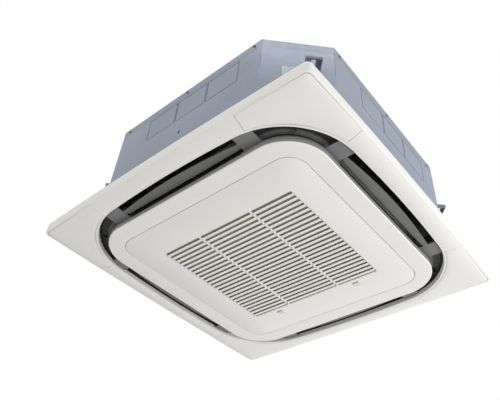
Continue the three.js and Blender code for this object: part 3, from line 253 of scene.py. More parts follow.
def swept(name, section, rays=PANEL_RAYS, closed=True):
    """A body round the centre line: one loop of edges extruded from section point to section point."""
    piece = circle_of(name, len(rays))
    mesh = edit(piece, "EDGE")
    ray = mesh.verts.layers.int.new("ray")
    for i, v in enumerate(mesh.verts):
        v[ray] = i
    bmesh.update_edit_mesh(piece.data)
    place_loop(piece, rays, *section[0])
    for loop, z in section[1:] + (section[:1] if closed else []):
        bpy.ops.mesh.extrude_edges_move(TRANSFORM_OT_translate={"value": (0, 0, 0)})
        place_loop(piece, rays, loop, z)
    bpy.ops.mesh.select_all(action="SELECT")
    bpy.ops.mesh.remove_doubles(threshold=2e-6)
    bpy.ops.mesh.select_all(action="SELECT")
    bpy.ops.mesh.normals_make_consistent(inside=False)
    done(piece)
    piece.data.attributes.remove(piece.data.attributes["ray"])
    return piece


def turned(name, profile, sides=72):
    """A body of revolution about Z from [radius, z] points; radius 0 closes it at the axis."""
    rays = [2 * math.pi * i / sides for i in range(sides)]
    closed = profile[0][0] > 0
    return swept(name, [(circle(r), z) for r, z in profile], rays, closed)


def slab(name, outline, low, high):
    """A plan outline filled and extruded upwards."""
    piece = circle_of(name, len(outline))
    mesh = edit(piece)
    for v, (x, y) in zip(mesh.verts, outline):
        v.co = Vector((x, y, low)) * MM
    bmesh.update_edit_mesh(piece.data)
    bpy.ops.mesh.edge_face_add()
    bpy.ops.mesh.extrude_region_move(TRANSFORM_OT_translate={"value": (0, 0, (high - low) * MM)})
    bpy.ops.mesh.select_all(action="SELECT")
    bpy.ops.mesh.normals_make_consistent(inside=False)
    return done(piece)


def block(name, x0, x1, y0, y1, z0, z1):
    bpy.ops.object.select_all(action="DESELECT")
    bpy.ops.mesh.primitive_cube_add(size=1.0)
    piece = bpy.context.active_object
    piece.name = name
    size = Vector((x1 - x0, y1 - y0, z1 - z0)) * MM
    middle = Vector((x0 + x1, y0 + y1, z0 + z1)) * MM / 2
    piece.data.transform(Matrix.Translation(middle) @ Matrix.Diagonal((*size, 1)))
    return piece


ALONG_X = Matrix(((0, 0, 1, 0), (1, 0, 0, 0), (0, 1, 0, 0), (0, 0, 0, 1)))
ALONG_Y = Matrix(((0, 1, 0, 0), (0, 0, 1, 0), (1, 0, 0, 0), (0, 0, 0, 1)))


def rod(name, axis, start, end, centre, radius, sides=32, break_edge=0.4):
    """A turned pin with broken edges, along X or Y."""
    e = break_edge
    profile = [(0, start), (radius - e, start), (radius, start + e), (radius, end - e), (radius - e, end),
               (0, end)]
    piece = turned(name, profile, sides)
    turn = {"x": ALONG_X, "y": ALONG_Y}[axis]
    spot = {"x": (0, *centre), "y": (centre[0], 0, centre[1])}[axis]
    piece.data.transform(Matrix.Translation(Vector(spot) * MM) @ turn)
    return piece


def apply_modifier(piece, kind, **values):
    only(piece)
    modifier = piece.modifiers.new("shape", kind)
    for key, value in values.items():
        setattr(modifier, key, value)
    bpy.ops.object.modifier_apply(modifier=modifier.name)
    return piece


def ease(piece, width, segments=2, angle=30):
    """Rounds every edge that is sharper than the angle."""
    return apply_modifier(piece, "BEVEL", width=width * MM, segments=segments, limit_method="ANGLE",
                          angle_limit=math.radians(angle), miter_outer="MITER_ARC")


def carve(piece, cutter):
    apply_modifier(piece, "BOOLEAN", operation="DIFFERENCE", object=cutter, solver="EXACT")
    bpy.data.objects.remove(cutter)
    return piece


def joined(name, pieces):
    only(pieces[0])
    for other in pieces[1:]:
        other.select_set(True)
    bpy.ops.object.join()
    pieces[0].name = name
    return pieces[0]


def twin(piece, name, matrix):
    """A copy with its own mesh, turned or moved in the mesh."""
    copy = piece.copy()
    copy.data = piece.data.copy()
    copy.name = name
    bpy.context.scene.collection.objects.link(copy)
    copy.data.transform(matrix)
    if matrix.determinant() < 0:
        edit(copy)
        bpy.ops.mesh.normals_make_consistent(inside=False)
        done(copy)
    return copy


def cut_away(piece, point, normal):
    """Bisects the piece and closes it, dropping the side that the normal points to."""
    edit(piece)
    bpy.ops.mesh.bisect(plane_co=Vector(point) * MM, plane_no=Vector(normal), use_fill=True, clear_outer=True)
    return done(piece)


def quarter_turn(q):
    return Matrix.Rotation(q * math.pi / 2, 4, "Z")


def merged_copy(node, name):
    """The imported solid's own shape, with its loose triangles merged into clean faces."""
    piece = bpy.data.objects.new(name, frame["nodes"][node].data.copy())
    bpy.context.scene.collection.objects.link(piece)
    edit(piece)
    bpy.ops.mesh.remove_doubles(threshold=1e-5)
    bpy.ops.mesh.dissolve_limited(angle_limit=math.radians(1.0))
    return done(piece)


def finish(piece, body, nodes, material, angle=32):
    """Gives the piece its material, shading, place on its body and the nodes it stands for."""
    only(piece)
    bpy.ops.object.shade_smooth_by_angle(angle=math.radians(angle))
    piece.data.materials.clear()
    piece.data.materials.append(material)
    if nodes:
        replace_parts(piece, *nodes)
    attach(piece, body)
    return piece


# ---------------------------------------------------------------- material effects


def effect(name, inputs, outputs):
    """A shader node group with Vector and number inputs and number outputs."""
    group = bpy.data.node_groups.new(name, "ShaderNodeTree")
    group.interface.new_socket("Vector", in_out="INPUT", socket_type="NodeSocketVector")
    for key, value in inputs.items():
        group.interface.new_socket(key, in_out="INPUT", socket_type="NodeSocketFloat").default_value = value
    for key in outputs:
        group.interface.new_socket(key, in_out="OUTPUT", socket_type="NodeSocketFloat")
    return group, group.nodes.new("NodeGroupInput"), group.nodes.new("NodeGroupOutput")


def maths(tree, operation, a, b=None, clamp=False):
    node = tree.nodes.new("ShaderNodeMath")
    node.operation = operation
    node.use_clamp = clamp
    for socket, value in zip(node.inputs, (a, b)):
        if value is None:
            continue
        if isinstance(value, (int, float)):
            socket.default_value = value
        else:
            tree.links.new(value, socket)
    return node.outputs[0]


def noise(tree, vector, scale, detail=3.0, roughness=0.55):
    node = tree.nodes.new("ShaderNodeTexNoise")
    node.inputs["Detail"].default_value = detail
    node.inputs["Roughness"].default_value = roughness
    tree.links.new(vector, node.inputs["Vector"])
    if isinstance(scale, (int, float)):
        node.inputs["Scale"].default_value = scale
    else:
        tree.links.new(scale, node.inputs["Scale"])
    return node.outputs["Fac"]


def stretch(tree, vector, scale):
    node = tree.nodes.new("ShaderNodeMapping")
    node.inputs["Scale"].default_value = scale
    tree.links.new(vector, node.inputs["Vector"])
    return node.outputs["Vector"]


def moulded_grain():
    """Fine spark-eroded grain with a slow drift of tone, for moulded plastic."""
    group, given, result = effect("moulded_grain", {"Scale": 900.0}, ["Height", "Tone"])
    vector = given.outputs["Vector"]
    fine = noise(group, vector, given.outputs["Scale"], 4.0, 0.6)
    drift = noise(group, vector, 5.0, 2.0)
    group.links.new(fine, result.inputs["Height"])
    tone = maths(group, "ADD", maths(group, "MULTIPLY", fine, 0.3), maths(group, "MULTIPLY", drift, 0.7))
    group.links.new(tone, result.inputs["Tone"])
    return group


def zinc_spangle():
    """Crystal flakes and soft clouds of galvanised sheet."""
    group, given, result = effect("zinc_spangle", {"Scale": 140.0}, ["Flake", "Cloud"])
    vector = given.outputs["Vector"]
    cells = group.nodes.new("ShaderNodeTexVoronoi")
    group.links.new(vector, cells.inputs["Vector"])
    group.links.new(given.outputs["Scale"], cells.inputs["Scale"])
    grey = group.nodes.new("ShaderNodeSeparateColor")
    group.links.new(cells.outputs["Color"], grey.inputs["Color"])
    group.links.new(grey.outputs["Red"], result.inputs["Flake"])
    cloud = noise(group, stretch(group, vector, (1.5, 1.5, 3.0)), 3.0, 4.0)
    group.links.new(cloud, result.inputs["Cloud"])
    return group


def settled_dust():
    """Mask of dust on faces that look up, broken up by noise."""
    group, given, result = effect("settled_dust", {"Amount": 0.5}, ["Mask"])
    geometry = group.nodes.new("ShaderNodeNewGeometry")
    split = group.nodes.new("ShaderNodeSeparateXYZ")
    group.links.new(geometry.outputs["Normal"], split.inputs["Vector"])
    upward = maths(group, "MULTIPLY", maths(group, "SUBTRACT", split.outputs["Z"], 0.55, True), 2.2, True)
    cloud = noise(group, given.outputs["Vector"], 14.0, 4.0, 0.65)
    mask = maths(group, "MULTIPLY", maths(group, "MULTIPLY", upward, cloud), given.outputs["Amount"], True)
    group.links.new(mask, result.inputs["Mask"])
    return group


def square_net():
    """Threads of a fine net: 1 on the thread, 0 in the hole."""
    group, given, result = effect("square_net", {"Pitch": 1800.0}, ["Thread"])
    split = group.nodes.new("ShaderNodeSeparateXYZ")
    group.links.new(given.outputs["Vector"], split.inputs["Vector"])
    waves = []
    for axis in ("X", "Y"):
        phase = maths(group, "MULTIPLY", split.outputs[axis], given.outputs["Pitch"])
        waves.append(maths(group, "POWER", maths(group, "ABSOLUTE", maths(group, "SINE", phase)), 3.0))
    group.links.new(maths(group, "MAXIMUM", *waves), result.inputs["Thread"])
    return group


def foam_beads():
    """Pressed bead pattern of foam."""
    group, given, result = effect("foam_beads", {"Scale": 320.0}, ["Height", "Tone"])
    cells = group.nodes.new("ShaderNodeTexVoronoi")
    group.links.new(given.outputs["Vector"], cells.inputs["Vector"])
    group.links.new(given.outputs["Scale"], cells.inputs["Scale"])
    group.links.new(cells.outputs["Distance"], result.inputs["Height"])
    group.links.new(noise(group, given.outputs["Vector"], 8.0), result.inputs["Tone"])
    return group


GRAIN, SPANGLE, DUST, NET, BEADS = moulded_grain(), zinc_spangle(), settled_dust(), square_net(), foam_beads()


# ---------------------------------------------------------------- materials


class Finish:
    """A Principled material and the nodes that feed it."""

    def __init__(self, name, roughness=0.5, metallic=0.0, **constants):
        self.material = bpy.data.materials.new(name)
        self.material.use_nodes = True
        self.tree = self.material.node_tree
        self.shader = self.tree.nodes["Principled BSDF"]
        self.shader.inputs["Roughness"].default_value = roughness
        self.shader.inputs["Metallic"].default_value = metallic
        for key, value in constants.items():
            self.shader.inputs[key.replace("_", " ")].default_value = value
        self.place = self.tree.nodes.new("ShaderNodeTexCoord").outputs["Object"]

    def effect(self, group, **values):
        node = self.tree.nodes.new("ShaderNodeGroup")
        node.node_tree = group
        self.tree.links.new(self.place, node.inputs["Vector"])
        for key, value in values.items():
            node.inputs[key].default_value = value
        return node.outputs

    def blend(self, mask, first, second):
        node = self.tree.nodes.new("ShaderNodeMix")
        node.data_type = "RGBA"
        self.tree.links.new(mask, node.inputs["Factor"])
        for socket, value in ((node.inputs["A"], first), (node.inputs["B"], second)):
            sockets = [s for s in node.inputs if s.name == socket.name and s.type == "RGBA"]
            if isinstance(value, tuple):
                sockets[0].default_value = (*value, 1)
            else:
                self.tree.links.new(value, sockets[0])
        return [s for s in node.outputs if s.type == "RGBA"][0]

    def range(self, value, low, high, first=0.0, last=1.0):
        node = self.tree.nodes.new("ShaderNodeMapRange")
        self.tree.links.new(value, node.inputs["Value"])
        for key, number in (("From Min", first), ("From Max", last), ("To Min", low), ("To Max", high)):
            node.inputs[key].default_value = number
        return node.outputs["Result"]

    def feed(self, socket, value):
        self.tree.links.new(value, self.shader.inputs[socket])

    def bump(self, height, distance, strength=1.0):
        node = self.tree.nodes.new("ShaderNodeBump")
        node.inputs["Strength"].default_value = strength
        node.inputs["Distance"].default_value = distance
        self.tree.links.new(height, node.inputs["Height"])
        self.feed("Normal", node.outputs["Normal"])

    def axes(self):
        """The point's own X, Y and Z, in metres, with Z counted from the ceiling line."""
        split = self.tree.nodes.new("ShaderNodeSeparateXYZ")
        self.tree.links.new(self.place, split.inputs["Vector"])
        return split.outputs

    def height(self):
        return self.axes()["Z"]

    def plan(self):
        """The point's distances from the two upright middle planes."""
        place = self.axes()
        return [maths(self.tree, "ABSOLUTE", place[axis]) for axis in ("X", "Y")]

    def dusted(self, tone, amount):
        """Feeds the tone to the shader, with dust on what looks up."""
        dusty = self.effect(DUST, Amount=amount)
        self.feed("Base Color", self.blend(dusty["Mask"], tone, DUST_COLOUR))

    def spangled(self, light, dark, roughness, flake, flake_share):
        """Feeds the roughness and relief of galvanised sheet, and gives its tone."""
        zinc = self.effect(SPANGLE, Scale=flake)
        mixed = maths(self.tree, "ADD", maths(self.tree, "MULTIPLY", zinc["Flake"], flake_share),
                      maths(self.tree, "MULTIPLY", zinc["Cloud"], 1 - flake_share))
        self.feed("Roughness", self.range(zinc["Flake"], roughness - 0.07, roughness + 0.08))
        self.bump(zinc["Cloud"], 1.5e-4, 0.25)
        return self.blend(self.range(mixed, 0.0, 1.0, 0.2, 0.8), dark, light)


DUST_COLOUR = (0.42, 0.39, 0.34)
# Painted shade: near black in the casing's score grooves.
SCORE_SHADE_COLOUR = (0.045, 0.05, 0.06)
# Painted shade: near black on the web between the corner blocks.
WEB_SHADE_BLACK = (0.012, 0.012, 0.012)

# Where a material changes over a piece, in metres: the heights or distances between which it blends.
TOP_BAND = (0.291, 0.293)
# Bounds of the painted shade in the casing's score grooves.
SCORE_SHADE_SKIN = (0.4189, 0.4197)
SCORE_SHADE_LOW = 0.195
# Bounds of the painted shade on the corner blocks' web.
WEB_SHADE_CENTRE = 0.25
WEB_SHADE_HEIGHT = (-0.0275, -0.024)
WEB_SHADE_REACH = (0.124, 0.131)
# Bounds of the painted shade on the ring's side.
RING_SIDE_SHADE = (-0.0478, -0.0468)
# Bounds of the painted shade on the hanger brackets' standing parts.
LUG_SHADE_REACH = (0.706, 0.710)
# Bounds of the grey painted shade in the outlet lining's low corners.
LINING_SHADE_CORNER = 0.2
LINING_SHADE_TOP = -0.0235


def plastic(name, light, dark, roughness, grain=900.0, depth=2.0e-5, dust=0.25, **constants):
    f = Finish(name, roughness, **constants)
    grained = f.effect(GRAIN, Scale=grain)
    tone = f.blend(grained["Tone"], dark, light)
    f.dusted(tone, dust)
    f.feed("Roughness", f.range(grained["Tone"], roughness - 0.06, roughness + 0.08, 0.3, 0.7))
    f.bump(grained["Height"], depth)
    return f


def sheet_metal(name, light, dark, roughness, metallic, flake=140.0, dust=0.4):
    f = Finish(name, roughness, metallic)
    f.dusted(f.spangled(light, dark, roughness, flake, 0.35), dust)
    return f


def casing_sheet(name, light, dark, roughness, metallic):
    """Galvanised sheet, with painted shade near black in its score lines, and a little darker along the top
    band.
    """
    f = Finish(name, roughness, metallic)
    tone = f.spangled(light, dark, roughness, 140.0, 0.3)
    tone = f.blend(f.range(f.height(), 0.0, 0.35, *TOP_BAND), tone, tuple(c * 0.72 for c in dark))
    # Painted shade: near black in a thin skin at the score grooves' floor, above a height.
    skin = maths(f.tree, "MAXIMUM", *f.plan())
    score_shade = maths(f.tree, "MULTIPLY", maths(f.tree, "GREATER_THAN", skin, SCORE_SHADE_SKIN[0]),
                   maths(f.tree, "LESS_THAN", skin, SCORE_SHADE_SKIN[1]))
    score_shade = maths(f.tree, "MULTIPLY", score_shade, maths(f.tree, "GREATER_THAN", f.height(), SCORE_SHADE_LOW))
    f.dusted(f.blend(score_shade, tone, SCORE_SHADE_COLOUR), 0.4)
    return f


def corner_block_plastic(name):
    """Grey blocks, with painted shade near black on the recessed web between them, towards the outlet's outer
    wall.
    """
    f = Finish(name, 0.5)
    grained = f.effect(GRAIN, Scale=1200.0)
    tone = f.blend(grained["Tone"], (0.155, 0.15, 0.15), (0.20, 0.195, 0.195))
    legs = [maths(f.tree, "SUBTRACT", distance, WEB_SHADE_CENTRE) for distance in f.plan()]
    squares = [maths(f.tree, "POWER", maths(f.tree, "ABSOLUTE", leg), 2.0) for leg in legs]
    reach_out = maths(f.tree, "SQRT", maths(f.tree, "ADD", *squares))
    # Painted shade: the web goes near black higher up and further out from the corner's middle point.
    shade = maths(f.tree, "MULTIPLY", f.range(f.height(), 0.0, 1.0, *WEB_SHADE_HEIGHT),
                  f.range(reach_out, 0.1, 1.0, *WEB_SHADE_REACH))
    f.feed("Base Color", f.blend(shade, tone, WEB_SHADE_BLACK))
    f.bump(grained["Height"], 2.0e-5)
    return f


def ring_plastic(name, light, dark, side):
    """White below, with painted shade in grey on the side that rises into the outlet."""
    f = Finish(name, 0.4)
    grained = f.effect(GRAIN, Scale=900.0)
    tone = f.blend(grained["Tone"], dark, light)
    # Painted shade: grey from just above the lower face upwards.
    f.feed("Base Color", f.blend(f.range(f.height(), 0.0, 1.0, *RING_SIDE_SHADE), tone, side))
    f.feed("Roughness", f.range(grained["Tone"], 0.34, 0.48, 0.3, 0.7))
    f.bump(grained["Height"], 2.0e-5)
    return f


def bracket_sheet(name, light, dark, lug_shade):
    """Galvanised plate, with the part that stands off the casing's corner painted darker, as painted shade
    and a painted dark reflection.
    """
    f = Finish(name, 0.42, 0.4)
    zinc = f.effect(SPANGLE, Scale=140.0)
    outward = maths(f.tree, "ADD", *f.plan())
    tone = f.blend(zinc["Flake"], dark, light)
    # Painted shade: darker beyond a reach from the centre planes, where the part stands off the corner.
    f.feed("Base Color", f.blend(f.range(outward, 0.0, 1.0, *LUG_SHADE_REACH), tone, lug_shade))
    f.feed("Roughness", f.range(zinc["Flake"], 0.36, 0.5))
    f.bump(zinc["Cloud"], 1.0e-4, 0.3)
    return f


def turned_metal(name, light, dark, roughness):
    f = Finish(name, roughness, 1.0)
    streaks = noise(f.tree, stretch(f.tree, f.place, (60.0, 60.0, 900.0)), 4.0, 3.0)
    stain = noise(f.tree, f.place, 40.0, 3.0)
    f.feed("Base Color", f.blend(f.range(stain, 0.0, 1.0, 0.35, 0.7), light, dark))
    f.feed("Roughness", f.range(streaks, roughness - 0.08, roughness + 0.12))
    f.bump(streaks, 1.0e-5)
    return f


def foam(name, light, dark, scale=320.0, depth=2.0e-4):
    f = Finish(name, 0.9)
    beads = f.effect(BEADS, Scale=scale)
    f.feed("Base Color", f.blend(beads["Tone"], dark, light))
    f.bump(beads["Height"], depth, 0.6)
    return f


BLACK_FOAM = ((0.022, 0.021, 0.020), (0.009, 0.009, 0.008), 700.0, 1.2e-4)


def lining_foam(name, low_corner_shade):
    """Near-black foam, with grey painted shade low down in the outlet's corners, standing in for the shaded
    white wall there.
    """
    f = foam(name, *BLACK_FOAM)
    black = f.shader.inputs["Base Color"].links[0].from_socket
    inward = maths(f.tree, "MINIMUM", *f.plan())
    # Painted shade: grey in the corners, below a height.
    corner = maths(f.tree, "MULTIPLY", maths(f.tree, "GREATER_THAN", inward, LINING_SHADE_CORNER),
                   maths(f.tree, "LESS_THAN", f.height(), LINING_SHADE_TOP))
    f.feed("Base Color", f.blend(corner, black, low_corner_shade))
    return f


def filter_net():
    f = Finish("filter_net", 0.75)
    net = f.effect(NET, Pitch=1800.0)
    f.feed("Base Color", f.blend(net["Thread"], (0.35, 0.31, 0.26), (0.72, 0.66, 0.58)))
    f.bump(net["Thread"], 3.0e-4, 0.8)
    return f


def finned_coil():
    """Edges of the upright fin sheets, seen round the outside of the coil, with painted shade in the gaps
    between them.
    """
    f = Finish("finned_coil", 0.4, 0.8)
    place = f.axes()
    turn = maths(f.tree, "ARCTAN2", place["Y"], place["X"])
    fin_edges_and_gap_shade = maths(f.tree, "ABSOLUTE", maths(f.tree, "SINE", maths(f.tree, "MULTIPLY", turn, 560.0)))
    # Painted shade: near black between the light fin edges.
    f.feed("Base Color", f.blend(fin_edges_and_gap_shade, (0.12, 0.12, 0.12), (0.66, 0.67, 0.68)))
    f.bump(fin_edges_and_gap_shade, 6.0e-4, 0.7)
    return f


WHITE = plastic("white_panel_plastic", (0.80, 0.79, 0.765), (0.74, 0.73, 0.705), 0.40, dust=0.15)
# The last colour is the painted shade of the ring's side.
RING = ring_plastic("ring_plastic", (0.80, 0.79, 0.765), (0.74, 0.73, 0.705), (0.30, 0.30, 0.29))
BLOCK_GREY = corner_block_plastic("grey_block_plastic")
FLAP_GREY = plastic("flap_plastic", (0.16, 0.16, 0.155), (0.12, 0.12, 0.117), 0.42, 1200.0)
BLACK = plastic("black_plastic", (0.024, 0.024, 0.024), (0.014, 0.014, 0.014), 0.5, 1400.0)
PALE_PART = plastic("pale_plastic", (0.62, 0.62, 0.60), (0.52, 0.52, 0.50), 0.45, 1400.0)
GALVANISED = sheet_metal("galvanised_sheet", (0.36, 0.40, 0.46), (0.28, 0.32, 0.37), 0.46, 0.35)
CASING = casing_sheet("casing_sheet", (0.29, 0.33, 0.405), (0.22, 0.255, 0.32), 0.46, 0.35)
# The last colour is the painted shade of the bracket's standing part.
BRACKET = bracket_sheet("bracket_sheet", (0.31, 0.35, 0.41), (0.26, 0.295, 0.355), (0.18, 0.20, 0.24))
MOTOR_STEEL = sheet_metal("motor_steel", (0.13, 0.13, 0.14), (0.08, 0.08, 0.085), 0.4, 0.6, 320.0)
STEEL = turned_metal("zinc_plated_steel", (0.62, 0.62, 0.63), (0.45, 0.45, 0.46), 0.32)
COPPER = turned_metal("drawn_copper", (0.72, 0.36, 0.20), (0.42, 0.18, 0.10), 0.3)
BRASS = turned_metal("turned_brass", (0.72, 0.54, 0.24), (0.48, 0.33, 0.13), 0.28)
WHITE_FOAM = foam("white_foam", (0.84, 0.84, 0.80), (0.72, 0.72, 0.68))
# The colour given is the grey painted shade of the low corners.
LINING = lining_foam("outlet_lining_foam", (0.27, 0.27, 0.26))
DARK_FOAM = foam("dark_foam", *BLACK_FOAM)
RUBBER = plastic("black_rubber", (0.020, 0.020, 0.021), (0.012, 0.012, 0.013), 0.7, 1500.0)
NET_GREY = filter_net()
COIL = finned_coil()

# ---------------------------------------------------------------- decoration panel


def corner_only(piece, end):
    """Keeps the corner at +X -Y of a ring, beyond slanted radial ends."""
    slope = Vector((*COVER_SLANT, 0)).normalized()
    cut_away(piece, (COVER_END - end, -OUTLET_HALF, 0), (-slope.x, -slope.y, 0))
    cut_away(piece, (OUTLET_HALF, -COVER_END + end, 0), (slope.y, slope.x, 0))
    return piece


def face_layer(name, first, last, low, high):
    """A layer along the face, between two shares of its width and two heights over it."""
    return swept(name, [*face_run(first, last, low), *reversed(face_run(first, last, high))])


def panel_frame():
    frame_body = swept("panel_frame_shell", [
        (RIM, 0), (RIM, -28), (grow(RIM, -0.25), -28.9), (grow(RIM, -0.85), -29.6), (FACE_OUT, RIM_Z),
        *face_run(0.07, 1.0),
        (grow(LIP, 6.2), LIP_Z + 0.9), (grow(LIP, 5.4), LIP_Z + 0.5), (grow(LIP, 3.2), LIP_Z + 0.3),
        (grow(LIP, 1.4), LIP_Z + 0.8), (grow(LIP, 0.4), LIP_Z + 1.8), (LIP, LIP_Z + 3.2),
        (LIP, WALL_TOP_Z), (THROAT, THROAT_Z),
        (grow(THROAT, WALL), THROAT_Z), (grow(LIP, WALL), WALL_TOP_Z), (grow(LIP, WALL), LIP_Z + WALL),
        (grow(RIM, -WALL), RIM_Z + WALL), (grow(RIM, -WALL), 0),
    ])
    parts = [frame_body]
    for q in range(4):
        recess = corner_only(face_layer("recess", *COVER_POCKET), SEAM)
        recess.data.transform(quarter_turn(q))
        carve(frame_body, recess)
    tray = corner_only(face_layer("tray", 0.012, 0.997, 1, 9), WALL)
    carve(tray, corner_only(face_layer("hollow", *COVER_POCKET), SEAM))
    parts += [twin(tray, "tray_copy", quarter_turn(q)) for q in range(1, 4)] + [tray]
    moulding = joined("panel_frame_moulding", parts)
    return finish(moulding, "unit", ["panel_frame"], WHITE.material)


def corner_covers():
    cover = ease(corner_only(face_layer("cover", 0.045, 0.985, 0, WALL), -SEAM), 0.45, 2, 40)
    for q, corner in enumerate(CORNERS):
        name = f"corner_cover_{corner}"
        piece = twin(cover, name + "_moulding", quarter_turn(q))
        finish(piece, "unit", [name], WHITE.material)
    bpy.data.objects.remove(cover)


def ring():
    edge = [(ring_loop(RING_HALF - 4 + 4 * math.sin(t)), LOW_Z + 4 - 4 * math.cos(t))
            for t in (math.radians(15 * i) for i in range(7))]
    body = swept("ring_body", [
        (RING_OPENING, LOW_Z + 0.7), (grow(RING_OPENING, 0.7), LOW_Z), *edge,
        (ring_loop(RING_HALF), RING_STEP_Z), (ring_loop(RING_THROAT_HALF), THROAT_Z),
        (ring_loop(RING_THROAT_HALF - WALL), THROAT_Z), (ring_loop(RING_HALF - WALL), RING_STEP_Z),
        (ring_loop(RING_HALF - 4), LOW_Z + WALL), (grow(RING_OPENING, WALL), LOW_Z + WALL),
        (grow(RING_OPENING, WALL), -36), (RING_OPENING, -36),
    ])
    arms = []
    for x in [side * HINGE_X + offset for side in (-1, 1) for offset in (-11.8, 11.8)]:
        turn = [math.radians(180 + 15 * i) for i in range(13)]
        end = [(HINGE[0] + 3.7 * math.cos(a), HINGE[1] + 3.7 * math.sin(a)) for a in turn]
        outline = [(-320, -37), (-317.5, -37), (-317.5, 8), (-269.7, 8), *end, (-262.3, 11), (-263.3, 12),
                   (-319, 12), (-320, 11)]
        arm = slab("arm", outline, x - 1.5, x + 1.5)
        arm.data.transform(ALONG_X)
        carve(arm, rod("pin_hole", "x", x - 3, x + 3, HINGE, 2.3, 24))
        arms.append(ease(arm, 0.3, 1))
    moulding = joined("inner_ring_moulding", [body, *arms])
    return finish(moulding, "unit", ["inner_ring"], RING.material)


def throat_linings():
    """Foam on both walls of the air outlet, above the white edges."""
    for name, wall, way, heights in (("outlet_lining_outer", outlet_wall, -1, [-21.5, -8, 6, 19.5]),
                                     ("outlet_lining_inner", ring_wall, 1, [-33.5, -16, 2, 19.5])):
        section = [(wall(z, way * 0.4), z) for z in heights]
        section += [(wall(z, way * 1.2), z) for z in reversed(heights)]
        finish(swept(name, section), "unit", [], LINING.material)


# ---------------------------------------------------------------- flaps


def flaps():
    half, neck = FLAP_HALF, FLAP_NECK
    edge = [(FLAP_EDGE, -neck)]
    for i in range(1, 24):
        t = i / 24
        x = (1 - t) ** 2 * FLAP_EDGE + 2 * t * (1 - t) * FLAP_BULGE + t**2 * FLAP_EDGE
        edge.append((x, -neck + 2 * neck * t))
    edge.append((FLAP_EDGE, neck))
    root, end = FLAP_ROOT, FLAP_EDGE - 1
    outline = [(root, -half), (end, -half), *edge, (end, half), (root, half), (root, neck + 2),
               (root - 3, neck), (root - 3, -neck), (root, -neck - 2)]
    blade = ease(slab("blade", outline, -28.5, -26.0), 1.0, 3)
    parts = [blade]
    for s, pin in ((-1, 8.0), (1, 3.5)):
        low, high = sorted((s * (half - 3), s * half))
        arm = ease(block("arm", 386.5, 395.5, low, high, -27.5, -13.5), 0.4, 1)
        boss = rod("boss", "y", low, high, FLAP_AXIS, 5, 32)
        low, high = sorted((s * (half - 2), s * (half + pin)))
        parts += [arm, boss, rod("pin", "y", low, high, FLAP_AXIS, 3, 24)]
    flap = joined("flap", parts)
    for q, side in enumerate(SIDES):
        piece = twin(flap, f"flap_{side}_blade", quarter_turn(q))
        finish(piece, f"{side}_flap", [f"flap_{side}"], FLAP_GREY.material)
    bpy.data.objects.remove(flap)


# ---------------------------------------------------------------- suction grille


def grille():
    hx, hy = SLAT_FIELD
    outer = rounded(GRILLE_HALF, GRILLE_CORNER)
    plate_top = LOW_Z + 3
    plate = swept("plate", [
        (circle(0), plate_top), (grow(outer, -WALL), plate_top), (grow(outer, -WALL), -38), (outer, -38),
        (outer, LOW_Z + 0.7), (grow(outer, -0.2), LOW_Z + 0.2), (grow(outer, -0.7), LOW_Z),
        (circle(0), LOW_Z),
    ], closed=False)
    for x in (-HINGE_X, HINGE_X):
        carve(plate, block("notch", x - 19.5, x + 19.5, -317, -312.5, plate_top, -37))
    carve(plate, block("field", -hx, hx, -hy, hy, LOW_Z - 1, LOW_Z + 4))
    for x in (-FINGER_X, FINGER_X):
        carve(plate, block("finger_slot", x - 11.3, x + 11.3, hy + 7, hy + 24.6, LOW_Z - 1, LOW_Z + 4))
    slat_outline = [(2.6, 0.0), (10.1, 0.0), (10.6, 0.5), (13.6, 8.0), (8.8, 8.0), (2.6, 1.6), (2.1, 0.8)]
    pitch = 2 * hy / SLOT_COUNT
    slat = slab("slat", slat_outline, -hx - 1, hx + 1)
    slat.data.transform(ALONG_X)
    parts = [plate]
    for i in range(1, SLOT_COUNT):
        place = Vector((0, -hy + i * pitch - SLAT_FOOT, LOW_Z)) * MM
        parts.append(twin(slat, "slat_copy", Matrix.Translation(place)))
    bpy.data.objects.remove(slat)
    for y in (-hy - 0.5, hy + 0.5 - SLAT_FOOT):
        edge_slat = block("edge_slat", -hx - 0.5, hx + 0.5, y, y + SLAT_FOOT, LOW_Z + 0.02, LOW_Z + 4)
        parts.append(ease(edge_slat, 0.4, 1))
    for x in (-RIB_X, RIB_X):
        parts.append(ease(block("rib", x - 2.5, x + 2.5, -hy - 1, hy + 1, LOW_Z, -41.5), 0.4, 2))
    rx, ry = hx + 2.5, hy + 2.5
    rail = slab("rail", [(-rx, -ry), (rx, -ry), (rx, ry), (-rx, ry)], -48, -41)
    parts.append(ease(carve(rail, block("field", -hx, hx, -hy, hy, -52, -38)), 0.3, 1))
    for x in (-FINGER_X, FINGER_X):
        parts.append(ease(block("latch_guide", x - 13, x + 13, hy + 1, hy + 26, -42.9, -41.4), 0.4, 1))
        for leg in (x - 13, x + 11):
            parts.append(ease(block("guide_leg", leg, leg + 2, hy + 1, hy + 26, -47.5, -42), 0.3, 1))
    for x in (-HINGE_X, HINGE_X):
        barrel = rod("barrel", "x", x - 10, x + 10, HINGE, 4.5, 32)
        foot = block("foot", x - 10, x + 10, HINGE[0] - 3, HINGE[0] + 3, LOW_Z + 1, HINGE[1])
        parts += [barrel, foot]
    moulding = joined("suction_grille_moulding", parts)
    return finish(moulding, "grille", ["suction_grille"], WHITE.material)


# ---------------------------------------------------------------- casing


def panel_side_frame(width, height, band, depth):
    """A thin rectangular band round the origin, drawn flat and raised by its depth."""
    bpy.ops.object.select_all(action="DESELECT")
    bpy.ops.mesh.primitive_plane_add(size=1.0)
    piece = bpy.context.active_object
    piece.data.transform(Matrix.Diagonal((width * MM, height * MM, 1, 1)))
    edit(piece, "FACE")
    bpy.ops.mesh.inset(thickness=band * MM)
    bpy.ops.mesh.delete(type="FACE")
    bpy.ops.mesh.select_all(action="SELECT")
    bpy.ops.mesh.extrude_region_move(TRANSFORM_OT_translate={"value": (0, 0, depth * MM)})
    bpy.ops.mesh.select_all(action="SELECT")
    bpy.ops.mesh.normals_make_consistent(inside=False)
    return done(piece)


